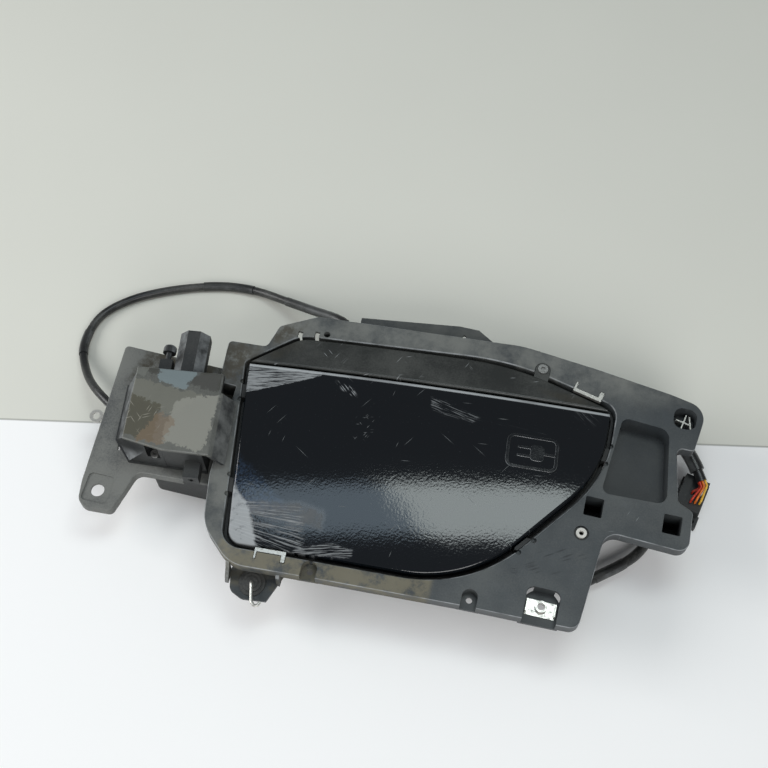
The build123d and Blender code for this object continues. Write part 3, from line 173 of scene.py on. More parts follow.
class DetailSettings(bpy.types.PropertyGroup):
    """Sizes of the small pieces."""

    sign_height: FloatProperty(
        name="Sign height",
        description="How far the plug sign stands out of the flap",
        default=0.0005,
        unit="LENGTH",
    )
    sign_turn: FloatProperty(
        name="Sign turn",
        description="Turn of the plug sign on the flap",
        default=math.radians(5),
        subtype="ANGLE",
    )
    well_depth: FloatProperty(
        name="Well depth",
        description="Depth of the blind wells under the two clip sockets",
        default=0.0125,
        unit="LENGTH",
    )
    tape_wall: FloatProperty(
        name="Tape thickness",
        description="How far a wrap of tape stands out of its cord",
        default=0.0004,
        unit="LENGTH",
    )


class FinishSettings(bpy.types.PropertyGroup):
    """Colours of the finishes and the amount of wear on them."""

    frame_colour: FloatVectorProperty(
        name="Frame plastic",
        description="Base colour of the moulded frame",
        subtype="COLOR",
        default=(0.034, 0.041, 0.046),
        min=0,
        max=1,
    )
    flap_colour: FloatVectorProperty(
        name="Flap paint",
        description="Base colour of the glossy flap",
        subtype="COLOR",
        default=(0.0015, 0.003, 0.005),
        min=0,
        max=1,
    )
    cover_colour: FloatVectorProperty(
        name="Cover paint",
        description="Base colour of the hinge cover",
        subtype="COLOR",
        default=(0.018, 0.02, 0.019),
        min=0,
        max=1,
    )
    inner_colour: FloatVectorProperty(
        name="Inner plastic",
        description="Base colour of the pocket and the hidden parts",
        subtype="COLOR",
        default=(0.009, 0.0095, 0.01),
        min=0,
        max=1,
    )
    dust_colour: FloatVectorProperty(
        name="Dust",
        description="Colour of the dry dust",
        subtype="COLOR",
        default=(0.27, 0.275, 0.25),
        min=0,
        max=1,
    )
    dirt_colour: FloatVectorProperty(
        name="Dirt",
        description="Colour of the brown dirt in the corners",
        subtype="COLOR",
        default=(0.042, 0.036, 0.023),
        min=0,
        max=1,
    )
    scuff_colour: FloatVectorProperty(
        name="Scuffs",
        description="Colour of rubbed paint",
        subtype="COLOR",
        default=(0.38, 0.4, 0.41),
        min=0,
        max=1,
    )
    dust_amount: FloatProperty(
        name="Dust amount",
        description="How much dust lies on the plastic",
        default=0.5,
        min=0,
        max=1,
    )


# Node helpers


def feed(tree, socket, value):
    """Links a socket or sets its value."""
    if isinstance(value, bpy.types.NodeSocket):
        tree.links.new(value, socket)
    else:
        socket.default_value = value


def add_node(tree, kind, inputs=None, **settings):
    made = tree.nodes.new(kind)
    for name, value in settings.items():
        setattr(made, name, value)
    for key, value in (inputs or {}).items():
        feed(tree, made.inputs[key], value)
    return made


def calculate(tree, operation, first, second=0.0):
    made = add_node(tree, "ShaderNodeMath", {0: first, 1: second}, operation=operation)
    return made.outputs[0]


def times(tree, first, second):
    """Product of a mask and a share, or of two masks."""
    return calculate(tree, "MULTIPLY", first, second)


def vector_calculate(tree, operation, first, second=(0, 0, 0)):
    made = add_node(tree, "ShaderNodeVectorMath", {0: first, 1: second}, operation=operation)
    return made.outputs["Value" if operation == "LENGTH" else "Vector"]


def step(tree, value, low, high):
    """Goes smoothly from 0 at low to 1 at high."""
    inputs = {"Value": value, "From Min": low, "From Max": high}
    made = add_node(tree, "ShaderNodeMapRange", inputs, interpolation_type="SMOOTHSTEP")
    return made.outputs["Result"]


def turned(tree, vector, turn):
    """The vector in axes turned about Z."""
    inputs = {"Vector": vector, "Angle": times(tree, turn, -1.0)}
    made = add_node(tree, "ShaderNodeVectorRotate", inputs, rotation_type="Z_AXIS")
    return made.outputs["Vector"]


def axes(tree, vector):
    """The X, Y and Z of a vector."""
    return add_node(tree, "ShaderNodeSeparateXYZ", {0: vector}).outputs


def joined_axes(tree, x, y):
    """A flat vector from two values."""
    return add_node(tree, "ShaderNodeCombineXYZ", {0: x, 1: y, 2: 0.0}).outputs[0]


def noise(tree, vector, scale, detail=3.0, roughness=0.55):
    inputs = {"Vector": vector, "Scale": scale, "Detail": detail, "Roughness": roughness}
    return add_node(tree, "ShaderNodeTexNoise", inputs).outputs["Fac"]


def mix_colours(tree, share, under, over):
    made = add_node(tree, "ShaderNodeMix", data_type="RGBA")
    feed(tree, made.inputs[0], share)
    feed(tree, made.inputs[6], under)
    feed(tree, made.inputs[7], over)
    return made.outputs[2]


def mix_values(tree, share, under, over):
    made = add_node(tree, "ShaderNodeMix", data_type="FLOAT")
    feed(tree, made.inputs[0], share)
    feed(tree, made.inputs[2], under)
    feed(tree, made.inputs[3], over)
    return made.outputs[0]


def rgba(colour):
    return (colour[0], colour[1], colour[2], 1.0)


def shared_group(name, draw, **inputs):
    """A node group with a vector, the named inputs and one output, the mask."""
    tree = bpy.data.node_groups.new(name, "ShaderNodeTree")
    for label, default in {"Vector": (0.0, 0.0, 0.0), **inputs}.items():
        kind = "NodeSocketVector" if isinstance(default, tuple) else "NodeSocketFloat"
        label = label.replace("_", " ")
        socket = tree.interface.new_socket(name=label, in_out="INPUT", socket_type=kind)
        socket.default_value = default
    tree.interface.new_socket(name="Mask", in_out="OUTPUT", socket_type="NodeSocketFloat")
    source = tree.nodes.new("NodeGroupInput")
    sink = tree.nodes.new("NodeGroupOutput")
    tree.links.new(draw(tree, source.outputs), sink.inputs["Mask"])


def draw_patch(tree, given):
    """Soft ragged oval round a centre, turned about Z."""
    place = vector_calculate(tree, "SUBTRACT", given["Vector"], given["Centre"])
    rotated = turned(tree, place, given["Turn"])
    scaled = vector_calculate(tree, "DIVIDE", rotated, given["Half Size"])
    grit = noise(tree, given["Vector"], 160.0, 5.0, 0.65)
    uneven = times(tree, calculate(tree, "SUBTRACT", grit, 0.5), given["Ragged"])
    reach = calculate(tree, "ADD", vector_calculate(tree, "LENGTH", scaled), uneven)
    inner = calculate(tree, "SUBTRACT", 1.0, given["Edge"])
    return step(tree, reach, 1.0, inner)


def cell_axes(tree, given):
    """Steps along and across cells that are turned and sized by the group's inputs."""
    parts = axes(tree, turned(tree, given["Vector"], given["Turn"]))
    along = calculate(tree, "DIVIDE", parts["X"], given["Length"])
    return along, calculate(tree, "DIVIDE", parts["Y"], given["Spacing"])


def draw_strokes(tree, given):
    """Short straight scratches that all run the same way."""
    along, across = cell_axes(tree, given)
    bend = times(tree, noise(tree, given["Vector"], 14.0, 1.0), 3.0)
    across = calculate(tree, "ADD", across, bend)
    inputs = {"Vector": joined_axes(tree, along, across), "Scale": 1.0}
    cells = add_node(tree, "ShaderNodeTexVoronoi", inputs, voronoi_dimensions="2D")
    chance = add_node(tree, "ShaderNodeSeparateColor", {0: cells.outputs["Color"]}).outputs["Red"]
    kept = calculate(tree, "LESS_THAN", chance, given["Share"])
    line = step(tree, cells.outputs["Distance"], given["Width"], 0.0)
    return times(tree, line, kept)


def draw_streaks(tree, given):
    """Long fine streaks that run side by side and break up."""
    along, across = cell_axes(tree, given)
    field = noise(tree, joined_axes(tree, along, across), 1.0, 4.0, 0.6)
    low = calculate(tree, "SUBTRACT", 1.0, given["Cover"])
    return step(tree, field, low, calculate(tree, "ADD", low, 0.12))


def draw_fan(tree, given):
    """Fine streaks that spread from a centre."""
    place = vector_calculate(tree, "SUBTRACT", given["Vector"], given["Centre"])
    parts = axes(tree, place)
    angle = calculate(tree, "ARCTAN2", parts["Y"], calculate(tree, "ABSOLUTE", parts["X"]))
    reach = vector_calculate(tree, "LENGTH", place)
    along = calculate(tree, "DIVIDE", reach, given["Length"])
    across = times(tree, angle, given["Streaks"])
    field = noise(tree, joined_axes(tree, along, across), 1.0, 5.0, 0.65)
    low = calculate(tree, "SUBTRACT", 1.0, given["Cover"])
    return step(tree, field, low, calculate(tree, "ADD", low, 0.12))


def draw_side(tree, given):
    """1 on the left of a line through a point, 0 on its right, with a ragged edge."""
    place = vector_calculate(tree, "SUBTRACT", given["Vector"], given["Point"])
    parts = axes(tree, turned(tree, place, given["Turn"]))
    grit = calculate(tree, "SUBTRACT", noise(tree, given["Vector"], 260.0, 5.0, 0.7), 0.5)
    uneven = times(tree, grit, given["Ragged"])
    beyond = calculate(tree, "ADD", parts["Y"], uneven)
    return step(tree, beyond, times(tree, given["Soft"], -1.0), given["Soft"])


def draw_worn_and_highlit_edge(tree, given):
    """Rubbed rounded edges, also lightened as a painted highlight: neither level nor upright in the
    object's own space.
    """
    upward = axes(tree, given["Normal"])["Z"]
    leaning = times(tree, step(tree, upward, 0.95, 0.8), step(tree, upward, 0.15, 0.4))
    patchy = step(tree, noise(tree, given["Vector"], 70.0, 4.0, 0.65), given["Worn From"], 0.7)
    return times(tree, leaning, patchy)


def draw_dust(tree, given):
    """Dust that gathers in clouds and specks."""
    cloud = noise(tree, given["Vector"], 22.0, 6.0, 0.62)
    speck = noise(tree, given["Vector"], 900.0, 2.0, 0.5)
    both = calculate(tree, "ADD", cloud, times(tree, speck, 0.35))
    low = calculate(tree, "SUBTRACT", 1.0, given["Amount"])
    return step(tree, both, low, calculate(tree, "ADD", low, 0.4))


def draw_grain(tree, given):
    """Fine moulded texture, as a height."""
    fine = noise(tree, given["Vector"], 1500.0, 2.0, 0.5)
    coarse = noise(tree, given["Vector"], 260.0, 2.0, 0.5)
    return calculate(tree, "ADD", fine, times(tree, coarse, 0.6))


def make_groups():
    here = (0.0, 0.0, 0.0)
    oval = {"Centre": here, "Half_Size": (0.02, 0.01, 1.0), "Turn": 0.0}
    shared_group("soft patch", draw_patch, **oval, Edge=0.5, Ragged=0.6)
    cells = {"Turn": 0.0, "Length": 0.02, "Spacing": 0.002}
    shared_group("strokes", draw_strokes, **cells, Width=0.1, Share=1.0)
    shared_group("streaks", draw_streaks, **cells, Cover=0.5)
    shared_group("fan streaks", draw_fan, Centre=here, Length=0.02, Streaks=60.0, Cover=0.5)
    shared_group("side of line", draw_side, Point=here, Turn=0.0, Soft=0.001, Ragged=0.0)
    shared_group("worn and highlit edge", draw_worn_and_highlit_edge, Normal=(0.0, 0.0, 1.0), Worn_From=0.3)
    shared_group("settled dust", draw_dust, Amount=0.5)
    shared_group("moulded grain", draw_grain)


def use_group(tree, name, vector, **values):
    made = add_node(tree, "ShaderNodeGroup", node_tree=bpy.data.node_groups[name])
    feed(tree, made.inputs["Vector"], vector)
    for label, value in values.items():
        feed(tree, made.inputs[label.replace("_", " ")], value)
    return made.outputs["Mask"]


def mask_place(place):
    """A place in millimetres as a vector in metres, at the height of the masks."""
    return (place[0] / 1000, place[1] / 1000, MASK_HEIGHT)


def patch(tree, vector, centre, half, turn=0.0, edge=0.5, ragged=0.6):
    """Soft patch whose centre and half sizes are given in millimetres."""
    return use_group(
        tree,
        "soft patch",
        vector,
        Centre=mask_place(centre),
        Half_Size=(half[0] / 1000, half[1] / 1000, 1.0),
        Turn=math.radians(turn),
        Edge=edge,
        Ragged=ragged,
    )


def strokes(tree, vector, turn, length, spacing, width, share=1.0):
    """Scratches in cells whose length and spacing are given in millimetres."""
    return use_group(
        tree,
        "strokes",
        vector,
        Turn=math.radians(turn),
        Length=length / 1000,
        Spacing=spacing / 1000,
        Width=width,
        Share=share,
    )


def crossed_strokes(tree, vector, spacing, width, rows):
    """Scratches in several directions, each row with a turn, a length and a share."""
    layers = []
    for turn, length, share in rows:
        layers.append(strokes(tree, vector, turn, length, spacing, width, share))
    return overlay(tree, *layers)


def streaks(tree, vector, turn, length, spacing, cover=0.5):
    """Streaks whose length and spacing are given in millimetres."""
    return use_group(
        tree,
        "streaks",
        vector,
        Turn=math.radians(turn),
        Length=length / 1000,
        Spacing=spacing / 1000,
        Cover=cover,
    )


def fan_streaks(tree, vector, centre, length, count, cover=0.5):
    """Streaks that spread from a centre given in millimetres."""
    return use_group(
        tree,
        "fan streaks",
        vector,
        Centre=mask_place(centre),
        Length=length / 1000,
        Streaks=count,
        Cover=cover,
    )


def left_of(tree, vector, start, end, soft=0.5, ragged=0.0):
    """The side on the left of a line from start to end, in millimetres."""
    return use_group(
        tree,
        "side of line",
        vector,
        Point=mask_place(start),
        Turn=math.atan2(end[1] - start[1], end[0] - start[0]),
        Soft=soft / 1000,
        Ragged=ragged / 1000,
    )


def inside(tree, vector, corners, soft=0.5, ragged=0.0):
    """The inside of a convex outline whose corners run anticlockwise, in millimetres."""
    result = None
    for start, end in zip(corners, corners[1:] + corners[:1]):
        mask = left_of(tree, vector, start, end, soft, ragged)
        result = mask if result is None else times(tree, result, mask)
    return result


# Mask of rubbed edges, which also stands for a painted highlight along them
def worn_and_highlit_edge(tree, vector, wear_and_highlight_from=0.3):
    normal = tree.nodes.new("ShaderNodeTexCoord").outputs["Normal"]
    return use_group(tree, "worn and highlit edge", vector, Normal=normal, Worn_From=wear_and_highlight_from)


def height_above(tree, vector, low, high):
    """Goes from 0 to 1 between two heights above the floor, in millimetres."""
    return step(tree, axes(tree, vector)["Z"], low / 1000, high / 1000)


def overlay(tree, *masks):
    """The strongest of several masks."""
    result = masks[0]
    for mask in masks[1:]:
        result = calculate(tree, "MAXIMUM", result, mask)
    return result


def coat(tree, colour, mask, share, over):
    """Lays another colour over the first, in a share of the mask."""
    return mix_colours(tree, times(tree, mask, share), colour, over)


def new_finish(name):
    """Makes a material; gives its tree, its Principled shader and the object's coordinates."""
    material = bpy.data.materials.new(name)
    material.use_nodes = True
    tree = material.node_tree
    shader = tree.nodes["Principled BSDF"]
    place = tree.nodes.new("ShaderNodeTexCoord").outputs["Object"]
    return tree, shader, place


def dress(tree, shader, colour, roughness):
    """Gives the shader its colour and its roughness."""
    for label, value in (("Base Color", colour), ("Roughness", roughness)):
        feed(tree, shader.inputs[label], value)


def bump(tree, shader, height, strength, distance=0.0002):
    inputs = {"Height": height, "Strength": strength, "Distance": distance}
    made = add_node(tree, "ShaderNodeBump", inputs)
    tree.links.new(made.outputs["Normal"], shader.inputs["Normal"])


# Finishes


def frame_finish(settings):
    tree, shader, place = new_finish("frame plastic")
    dust_colour = rgba(settings.dust_colour)
    dust = use_group(tree, "settled dust", place, Amount=settings.dust_amount)
    blotches = step(tree, noise(tree, place, 34.0, 7.0, 0.68), 0.3, 0.75)
    shaded = rgba([c * 0.72 for c in settings.frame_colour])
    colour = mix_colours(tree, blotches, shaded, rgba(settings.frame_colour))
    colour = coat(tree, colour, dust, 0.14, dust_colour)
    # grey dust along the top edge and down the left edge
    cloud = step(tree, noise(tree, place, 42.0, 7.0, 0.7), 0.3, 0.66)
    top = left_of(tree, place, (-120, 50), (160, 88), 12)
    left = left_of(tree, place, (-88, -80), (-112, 60), 8)
    pale = times(tree, overlay(tree, top, left), cloud)
    colour = coat(tree, colour, pale, 0.42, dust_colour)
    # beige dust on the bar under the flap
    bar = times(
        tree,
        inside(tree, place, [(-94, -108), (50, -94), (50, -74), (-94, -82)], 2.5),
        step(tree, noise(tree, place, 75.0, 7.0, 0.7), 0.36, 0.56),
    )
    colour = coat(tree, colour, bar, 0.62, (0.21, 0.19, 0.13, 1))
    # brown dirt on the upper left block
    brown = times(
        tree,
        overlay(
            tree,
            patch(tree, place, (-124, 48), (22, 28), 0, 0.6, 1.2),
            patch(tree, place, (-98, 78), (24, 10), 42, 0.8, 1.2),
        ),
        step(tree, noise(tree, place, 130.0, 6.0, 0.7), 0.34, 0.56),
    )
    colour = coat(tree, colour, brown, 0.85, rgba(settings.dirt_colour))
    # finger marks wiped through the dust at the lower right
    wiped = times(
        tree,
        patch(tree, place, (126, -45), (24, 10), 24, 0.35, 0.4),
        strokes(tree, place, 31, 13, 1.9, 0.52, 0.4),
    )
    colour = coat(tree, colour, wiped, 0.95, (0.006, 0.007, 0.011, 1))
    # pale scratches on the right arm and along the recess
    scratched = times(
        tree,
        patch(tree, place, (178, -8), (40, 16), 10, 0.8, 1.0),
        crossed_strokes(tree, place, 0.9, 0.36, [(20, 12, 0.03), (65, 9, 0.02)]),
    )
    colour = coat(tree, colour, scratched, 0.5, rgba(settings.scuff_colour))
    # painted shade: darker low down in the recess and the sockets
    recess_shade = height_above(tree, place, 58.8, 46.0)
    colour = coat(tree, colour, recess_shade, 0.55, (0.012, 0.015, 0.017, 1))
    # painted shade: near black low down in the boss hole, round its pale ring
    ring = patch(tree, place, BOSS_PLACE, (5.6, 5.6), 0, 0.1, 0.0)
    boss_hole_shade = height_above(tree, place, 59.6, 59.2)
    colour = coat(tree, colour, ring, boss_hole_shade, (0.003, 0.003, 0.003, 1))
    # rubbed edges, lightened also as a painted highlight
    wear_and_highlight = worn_and_highlit_edge(tree, place, 0.25)
    colour = coat(tree, colour, wear_and_highlight, 0.75, rgba(settings.scuff_colour))
    dress(tree, shader, colour, mix_values(tree, overlay(tree, pale, bar), 0.46, 0.82))
    bump(tree, shader, use_group(tree, "moulded grain", place), 0.12)


def flap_finish(settings):
    tree, shader, place = new_finish("flap paint")
    scuff = rgba(settings.scuff_colour)
    # wedge of rubbed paint at the upper left corner
    wedge = inside(tree, place, [(-116, 20), (-88, 33), (-60, 48), (-60, 54), (-120, 50)], 0.35, 3.0)
    wedge_lines = overlay(
        tree,
        fan_streaks(tree, place, (-30, 58), 26, 75, 0.56),
        streaks(tree, place, 9, 22, 0.9, 0.55),
    )
    wedge = times(tree, wedge, wedge_lines)
    # bright line along the top edge: worn paint and a painted highlight
    top_edge_wear_and_highlight = times(
        tree,
        left_of(tree, place, (-105, 45.2), (-5, 54.83), 0.4),
        step(tree, noise(tree, place, 16.0, 3.0, 0.6), 0.15, 0.5),
    )
    # short knocks under the top edge
    knocks = times(
        tree,
        patch(tree, place, (-40, 42.5), (11, 3.6), -28, 0.4, 1.0),
        strokes(tree, place, -40, 9, 1.0, 0.5, 0.8),
    )
    star = times(
        tree,
        patch(tree, place, (-21, 15), (10, 14), -20, 0.6, 1.2),
        crossed_strokes(tree, place, 0.9, 0.36, [(62, 6, 0.12), (-35, 6, 0.12), (15, 5, 0.08)]),
    )
    # pale streaks right of the middle, with a long thin tail
    pale_streaks = times(
        tree,
        inside(tree, place, [(22, 41), (52, 38), (56, 43), (28, 50), (20, 50)], 1.2, 5.0),
        streaks(tree, place, -11, 18, 1.1, 0.5),
    )
    tail = times(
        tree,
        inside(tree, place, [(30, 38), (104, 42.5), (104, 44.5), (40, 46)], 1.0, 1.0),
        streaks(tree, place, -2, 60, 0.9, 0.42),
    )
    haze = times(
        tree,
        patch(tree, place, (128, 66), (15, 9), -30, 0.9, 0.6),
        streaks(tree, place, -38, 12, 1.0, 0.5),
    )
    stray_rows = [(58, 17, 0.003), (-32, 21, 0.003), (8, 13, 0.002), (80, 9, 0.002)]
    stray = crossed_strokes(tree, place, 0.7, 0.36, stray_rows)
    # whitish rubbed lower left corner, which frays into streaks to the right; its pale also stands in
    # for a painted reflection
    corner_outline = [(-110, -90), (-66, -90), (-82, -58), (-101, -41), (-112, -41)]
    corner = inside(tree, place, corner_outline, 1.4, 6.0)
    corner = times(tree, corner, step(tree, noise(tree, place, 150.0, 5.0, 0.7), 0.2, 0.48))
    frayed_scuff_and_reflection = times(
        tree,
        inside(tree, place, [(-100, -88), (-38, -84), (-46, -52), (-92, -54)], 3.0, 10.0),
        fan_streaks(tree, place, (-150, -66), 30, 85, 0.5),
    )
    smear = times(
        tree,
        inside(tree, place, [(-84, -62), (-30, -62), (-30, -50), (-46, -46), (-84, -55)], 3.0, 6.0),
        step(tree, noise(tree, place, 90.0, 4.0, 0.6), 0.2, 0.7),
    )
    foot = times(
        tree,
        inside(tree, place, [(-48, -82), (-6, -76), (-6, -71), (-20, -69), (-40, -76)], 1.0, 5.0),
        streaks(tree, place, 14, 16, 0.9, 0.55),
    )
    # faint blue film above the worn corner
    film = times(
        tree,
        inside(tree, place, [(-112, -44), (-84, -62), (-48, -52), (-82, -34), (-104, -18)], 4.0, 10.0),
        step(tree, noise(tree, place, 420.0, 4.0, 0.7), 0.35, 0.7),
    )
    colour = coat(tree, rgba(settings.flap_colour), film, 0.16, (0.09, 0.17, 0.32, 1))
    for mask, share in (
        (smear, 0.2),
        (frayed_scuff_and_reflection, 0.5),
        (corner, 0.75),
        (foot, 0.4),
        (tail, 0.22),
        (haze, 0.14),
        (pale_streaks, 0.3),
        (stray, 0.3),
        (star, 0.3),
        (knocks, 0.7),
        (wedge, 0.62),
        (top_edge_wear_and_highlight, 0.9),
    ):
        colour = coat(tree, colour, mask, share, scuff)
    speck = step(tree, noise(tree, place, 900.0, 2.0, 0.5), 0.68, 0.8)
    colour = coat(tree, colour, speck, 0.05, scuff)
    feed(tree, shader.inputs["Base Color"], colour)
    lightness = add_node(tree, "ShaderNodeRGBToBW", {0: colour}).outputs[0]
    rubbed = step(tree, lightness, 0.02, 0.12)
    feed(tree, shader.inputs["Roughness"], mix_values(tree, rubbed, 0.07, 0.6))
    peel = times(tree, noise(tree, place, 640.0, 2.0, 0.5), 0.8)
    wavy = calculate(tree, "ADD", peel, times(tree, noise(tree, place, 26.0, 2.0), 2.2))
    bump(tree, shader, wavy, 0.3)


def cover_finish(settings):
    tree, shader, place = new_finish("cover paint")
    dust = use_group(tree, "settled dust", place, Amount=0.5)
    colour = coat(tree, rgba(settings.cover_colour), dust, 0.12, rgba(settings.dust_colour))
    left_dirt = times(
        tree,
        patch(tree, place, (-95, 62), (26, 12), 35, 0.8, 1.0),
        step(tree, noise(tree, place, 70.0, 5.0), 0.4, 0.7),
    )
    right_dirt = patch(tree, place, (112, 76), (26, 5), -2, 0.8, 1.0)
    dirt = overlay(tree, left_dirt, right_dirt)
    colour = coat(tree, colour, dirt, 0.35, rgba(settings.dirt_colour))
    cuts = times(
        tree,
        step(tree, noise(tree, place, 26.0, 2.0), 0.46, 0.56),
        crossed_strokes(tree, place, 0.9, 0.36, [(66, 13, 0.03), (-40, 10, 0.03), (20, 8, 0.015)]),
    )
    colour = coat(tree, colour, cuts, 0.7, rgba(settings.scuff_colour))
    dress(tree, shader, colour, mix_values(tree, dust, 0.34, 0.55))
    bump(tree, shader, use_group(tree, "moulded grain", place), 0.04)


def dusty_plastic(name, colour, settings, dust_share, roughness=0.45, grain=0.1, wear_and_highlight_share=0.5):
    """Plain moulded plastic with a film of dust and rubbed edges, which also carry a painted highlight.
    """
    tree, shader, place = new_finish(name)
    dust = use_group(tree, "settled dust", place, Amount=settings.dust_amount)
    shade = coat(tree, rgba(colour), dust, dust_share, rgba(settings.dust_colour))
    speck = step(tree, noise(tree, place, 620.0, 4.0, 0.7), 0.6, 0.72)
    shade = coat(tree, shade, speck, dust_share, rgba(settings.dust_colour))
    # rubbed edges, lightened also as a painted highlight
    wear_and_highlight = worn_and_highlit_edge(tree, place, 0.3)
    shade = coat(tree, shade, wear_and_highlight, wear_and_highlight_share, rgba(settings.scuff_colour))
    dress(tree, shader, shade, mix_values(tree, dust, roughness, roughness + 0.25))
    bump(tree, shader, use_group(tree, "moulded grain", place), grain)


def bracket_finish(settings):
    tree, shader, place = new_finish("bracket plastic")
    dust = use_group(tree, "settled dust", place, Amount=0.62)
    colour = coat(tree, (0.05, 0.053, 0.055, 1), dust, 0.5, rgba(settings.dust_colour))
    # oily dirt behind and round the sensor
    grit = step(tree, noise(tree, place, 110.0, 7.0, 0.72), 0.3, 0.52)
    behind = inside(tree, place, [(-200, 22), (-108, 22), (-104, 64), (-192, 52)], 5.0, 14.0)
    colour = coat(tree, colour, times(tree, behind, grit), 0.92, rgba(settings.dirt_colour))
    # painted shade: a dark band along the bracket's lower edge
    front = patch(tree, place, (-150, -34), (44, 9), -8, 0.8, 1.2)
    colour = coat(tree, colour, front, 0.65, (0.02, 0.022, 0.02, 1))
    # painted shade: darker low down
    low = height_above(tree, place, 36.0, 28.0)
    colour = coat(tree, colour, low, 0.8, (0.02, 0.021, 0.02, 1))
    # rubbed edges, lightened also as a painted highlight
    wear_and_highlight = worn_and_highlit_edge(tree, place, 0.3)
    colour = coat(tree, colour, wear_and_highlight, 0.5, (0.3, 0.31, 0.29, 1))
    dress(tree, shader, colour, mix_values(tree, dust, 0.45, 0.8))
    bump(tree, shader, use_group(tree, "moulded grain", place), 0.15)


def sensor_cover_finish(settings):
    tree, shader, place = new_finish("sensor cover plastic")
    dust = use_group(tree, "settled dust", place, Amount=0.6)
    colour = coat(tree, (0.06, 0.062, 0.055, 1), dust, 0.25, rgba(settings.dust_colour))
    # dried water marks with crisp outlines: corners, softness, raggedness, colour and share
    marks = (
        ([(-190, 18), (-122, 12), (-122, 38), (-190, 38)], 1.0, 14.0, (0.035, 0.035, 0.028, 1), 0.85),
        ([(-168, 12), (-148, 8), (-141, 24), (-170, 28)], 0.4, 12.0, (0.16, 0.2, 0.21, 1), 0.85),
        ([(-146, 14), (-124, 12), (-126, 26), (-142, 24)], 0.4, 14.0, (0.05, 0.05, 0.045, 1), 0.8),
        ([(-192, 14), (-178, 12), (-176, 22), (-190, 24)], 0.4, 8.0, (0.13, 0.135, 0.12, 1), 0.7),
        ([(-190, -4), (-150, -12), (-134, 8), (-190, 10)], 0.4, 14.0, (0.14, 0.14, 0.115, 1), 0.75),
        ([(-152, -32), (-121, -34), (-122, 12), (-150, 0)], 0.5, 14.0, (0.23, 0.23, 0.2, 1), 0.85),
        ([(-192, -34), (-156, -34), (-160, -6), (-188, -2)], 0.5, 16.0, (0.062, 0.057, 0.036, 1), 0.85),
        ([(-168, -34), (-150, -36), (-146, -14), (-160, -12)], 0.5, 16.0, (0.17, 0.12, 0.075, 1), 0.6),
    )
    for corners, soft, ragged, shade, share in marks:
        mask = inside(tree, place, corners, soft, ragged)
        colour = coat(tree, colour, mask, share, shade)
    cuts = times(
        tree,
        patch(tree, place, (-172, -16), (24, 20), 0, 0.7, 0.8),
        crossed_strokes(tree, place, 0.9, 0.4, [(28, 12, 0.1), (-40, 11, 0.08), (75, 9, 0.07)]),
    )
    colour = coat(tree, colour, cuts, 0.55, (0.42, 0.4, 0.34, 1))
    # painted shade: the cover's sides, below its top, near black
    side = height_above(tree, place, 75.6, 74.6)
    colour = coat(tree, colour, side, 0.9, (0.014, 0.016, 0.018, 1))
    # rubbed edges, lightened also as a painted highlight
    wear_and_highlight = worn_and_highlit_edge(tree, place, 0.25)
    colour = coat(tree, colour, wear_and_highlight, 0.5, (0.3, 0.31, 0.3, 1))
    dress(tree, shader, colour, mix_values(tree, dust, 0.45, 0.7))
    bump(tree, shader, use_group(tree, "moulded grain", place), 0.12)


def rubber_finish(settings):
    tree, shader, place = new_finish("seal rubber")
    dust = use_group(tree, "settled dust", place, Amount=0.5)
    colour = coat(tree, (0.016, 0.016, 0.016, 1), dust, 0.25, rgba(settings.dust_colour))
    dress(tree, shader, colour, mix_values(tree, dust, 0.5, 0.8))
    bump(tree, shader, noise(tree, place, 400.0, 3.0), 0.2)


def cable_finish(settings):
    tree, shader, place = new_finish("taped cable")
    dust = use_group(tree, "settled dust", place, Amount=0.45)
    colour = coat(tree, (0.012, 0.0125, 0.013, 1), dust, 0.3, rgba(settings.dust_colour))
    dress(tree, shader, colour, mix_values(tree, dust, 0.3, 0.55))
    bump(tree, shader, noise(tree, place, 90.0, 4.0, 0.6), 0.5, 0.0006)


def metal_finish(name, colour, roughness):
    tree, shader, place = new_finish(name)
    tarnish = noise(tree, place, 300.0, 5.0, 0.7)
    mask = step(tree, tarnish, 0.45, 0.8)
    shade = mix_colours(tree, mask, rgba(colour), rgba([c * 0.35 for c in colour]))
    shader.inputs["Metallic"].default_value = 0.85
    dress(tree, shader, shade, mix_values(tree, mask, roughness, roughness + 0.3))
    bump(tree, shader, tarnish, 0.1)


def jacket_finish(name, colour):
    """Glossy jacket of a thin wire."""
    tree, shader, place = new_finish(name)
    uneven = noise(tree, place, 500.0, 3.0)
    dark = rgba([c * 0.55 for c in colour])
    shade = mix_colours(tree, step(tree, uneven, 0.3, 0.8), rgba(colour), dark)
    dress(tree, shader, shade, 0.35)
    bump(tree, shader, uneven, 0.1)


FINISH_OF_SLOT = {
    "frame_plastic": "frame plastic",
    "housing_plastic": "pocket plastic",
    "flap_paint": "flap paint",
    "cover_paint": "cover paint",
    "bracket_plastic": "bracket plastic",
    "sensor_plastic": "sensor plastic",
    "sensor_cover_plastic": "sensor cover plastic",
    "seal_rubber": "seal rubber",
    "pale_plastic": "pale plastic",
    "clip_metal": "clip metal",
    "screw_steel": "screw steel",
    "cable_rubber": "taped cable",
    "wire_red": "red jacket",
    "wire_orange": "orange jacket",
    "wire_yellow": "yellow jacket",
    "wire_white": "white jacket",
}


JACKET_COLOURS = {
    "red jacket": (0.62, 0.045, 0.02),
    "orange jacket": (0.85, 0.2, 0.02),
    "yellow jacket": (0.85, 0.5, 0.05),
    "white jacket": (0.8, 0.78, 0.72),
}


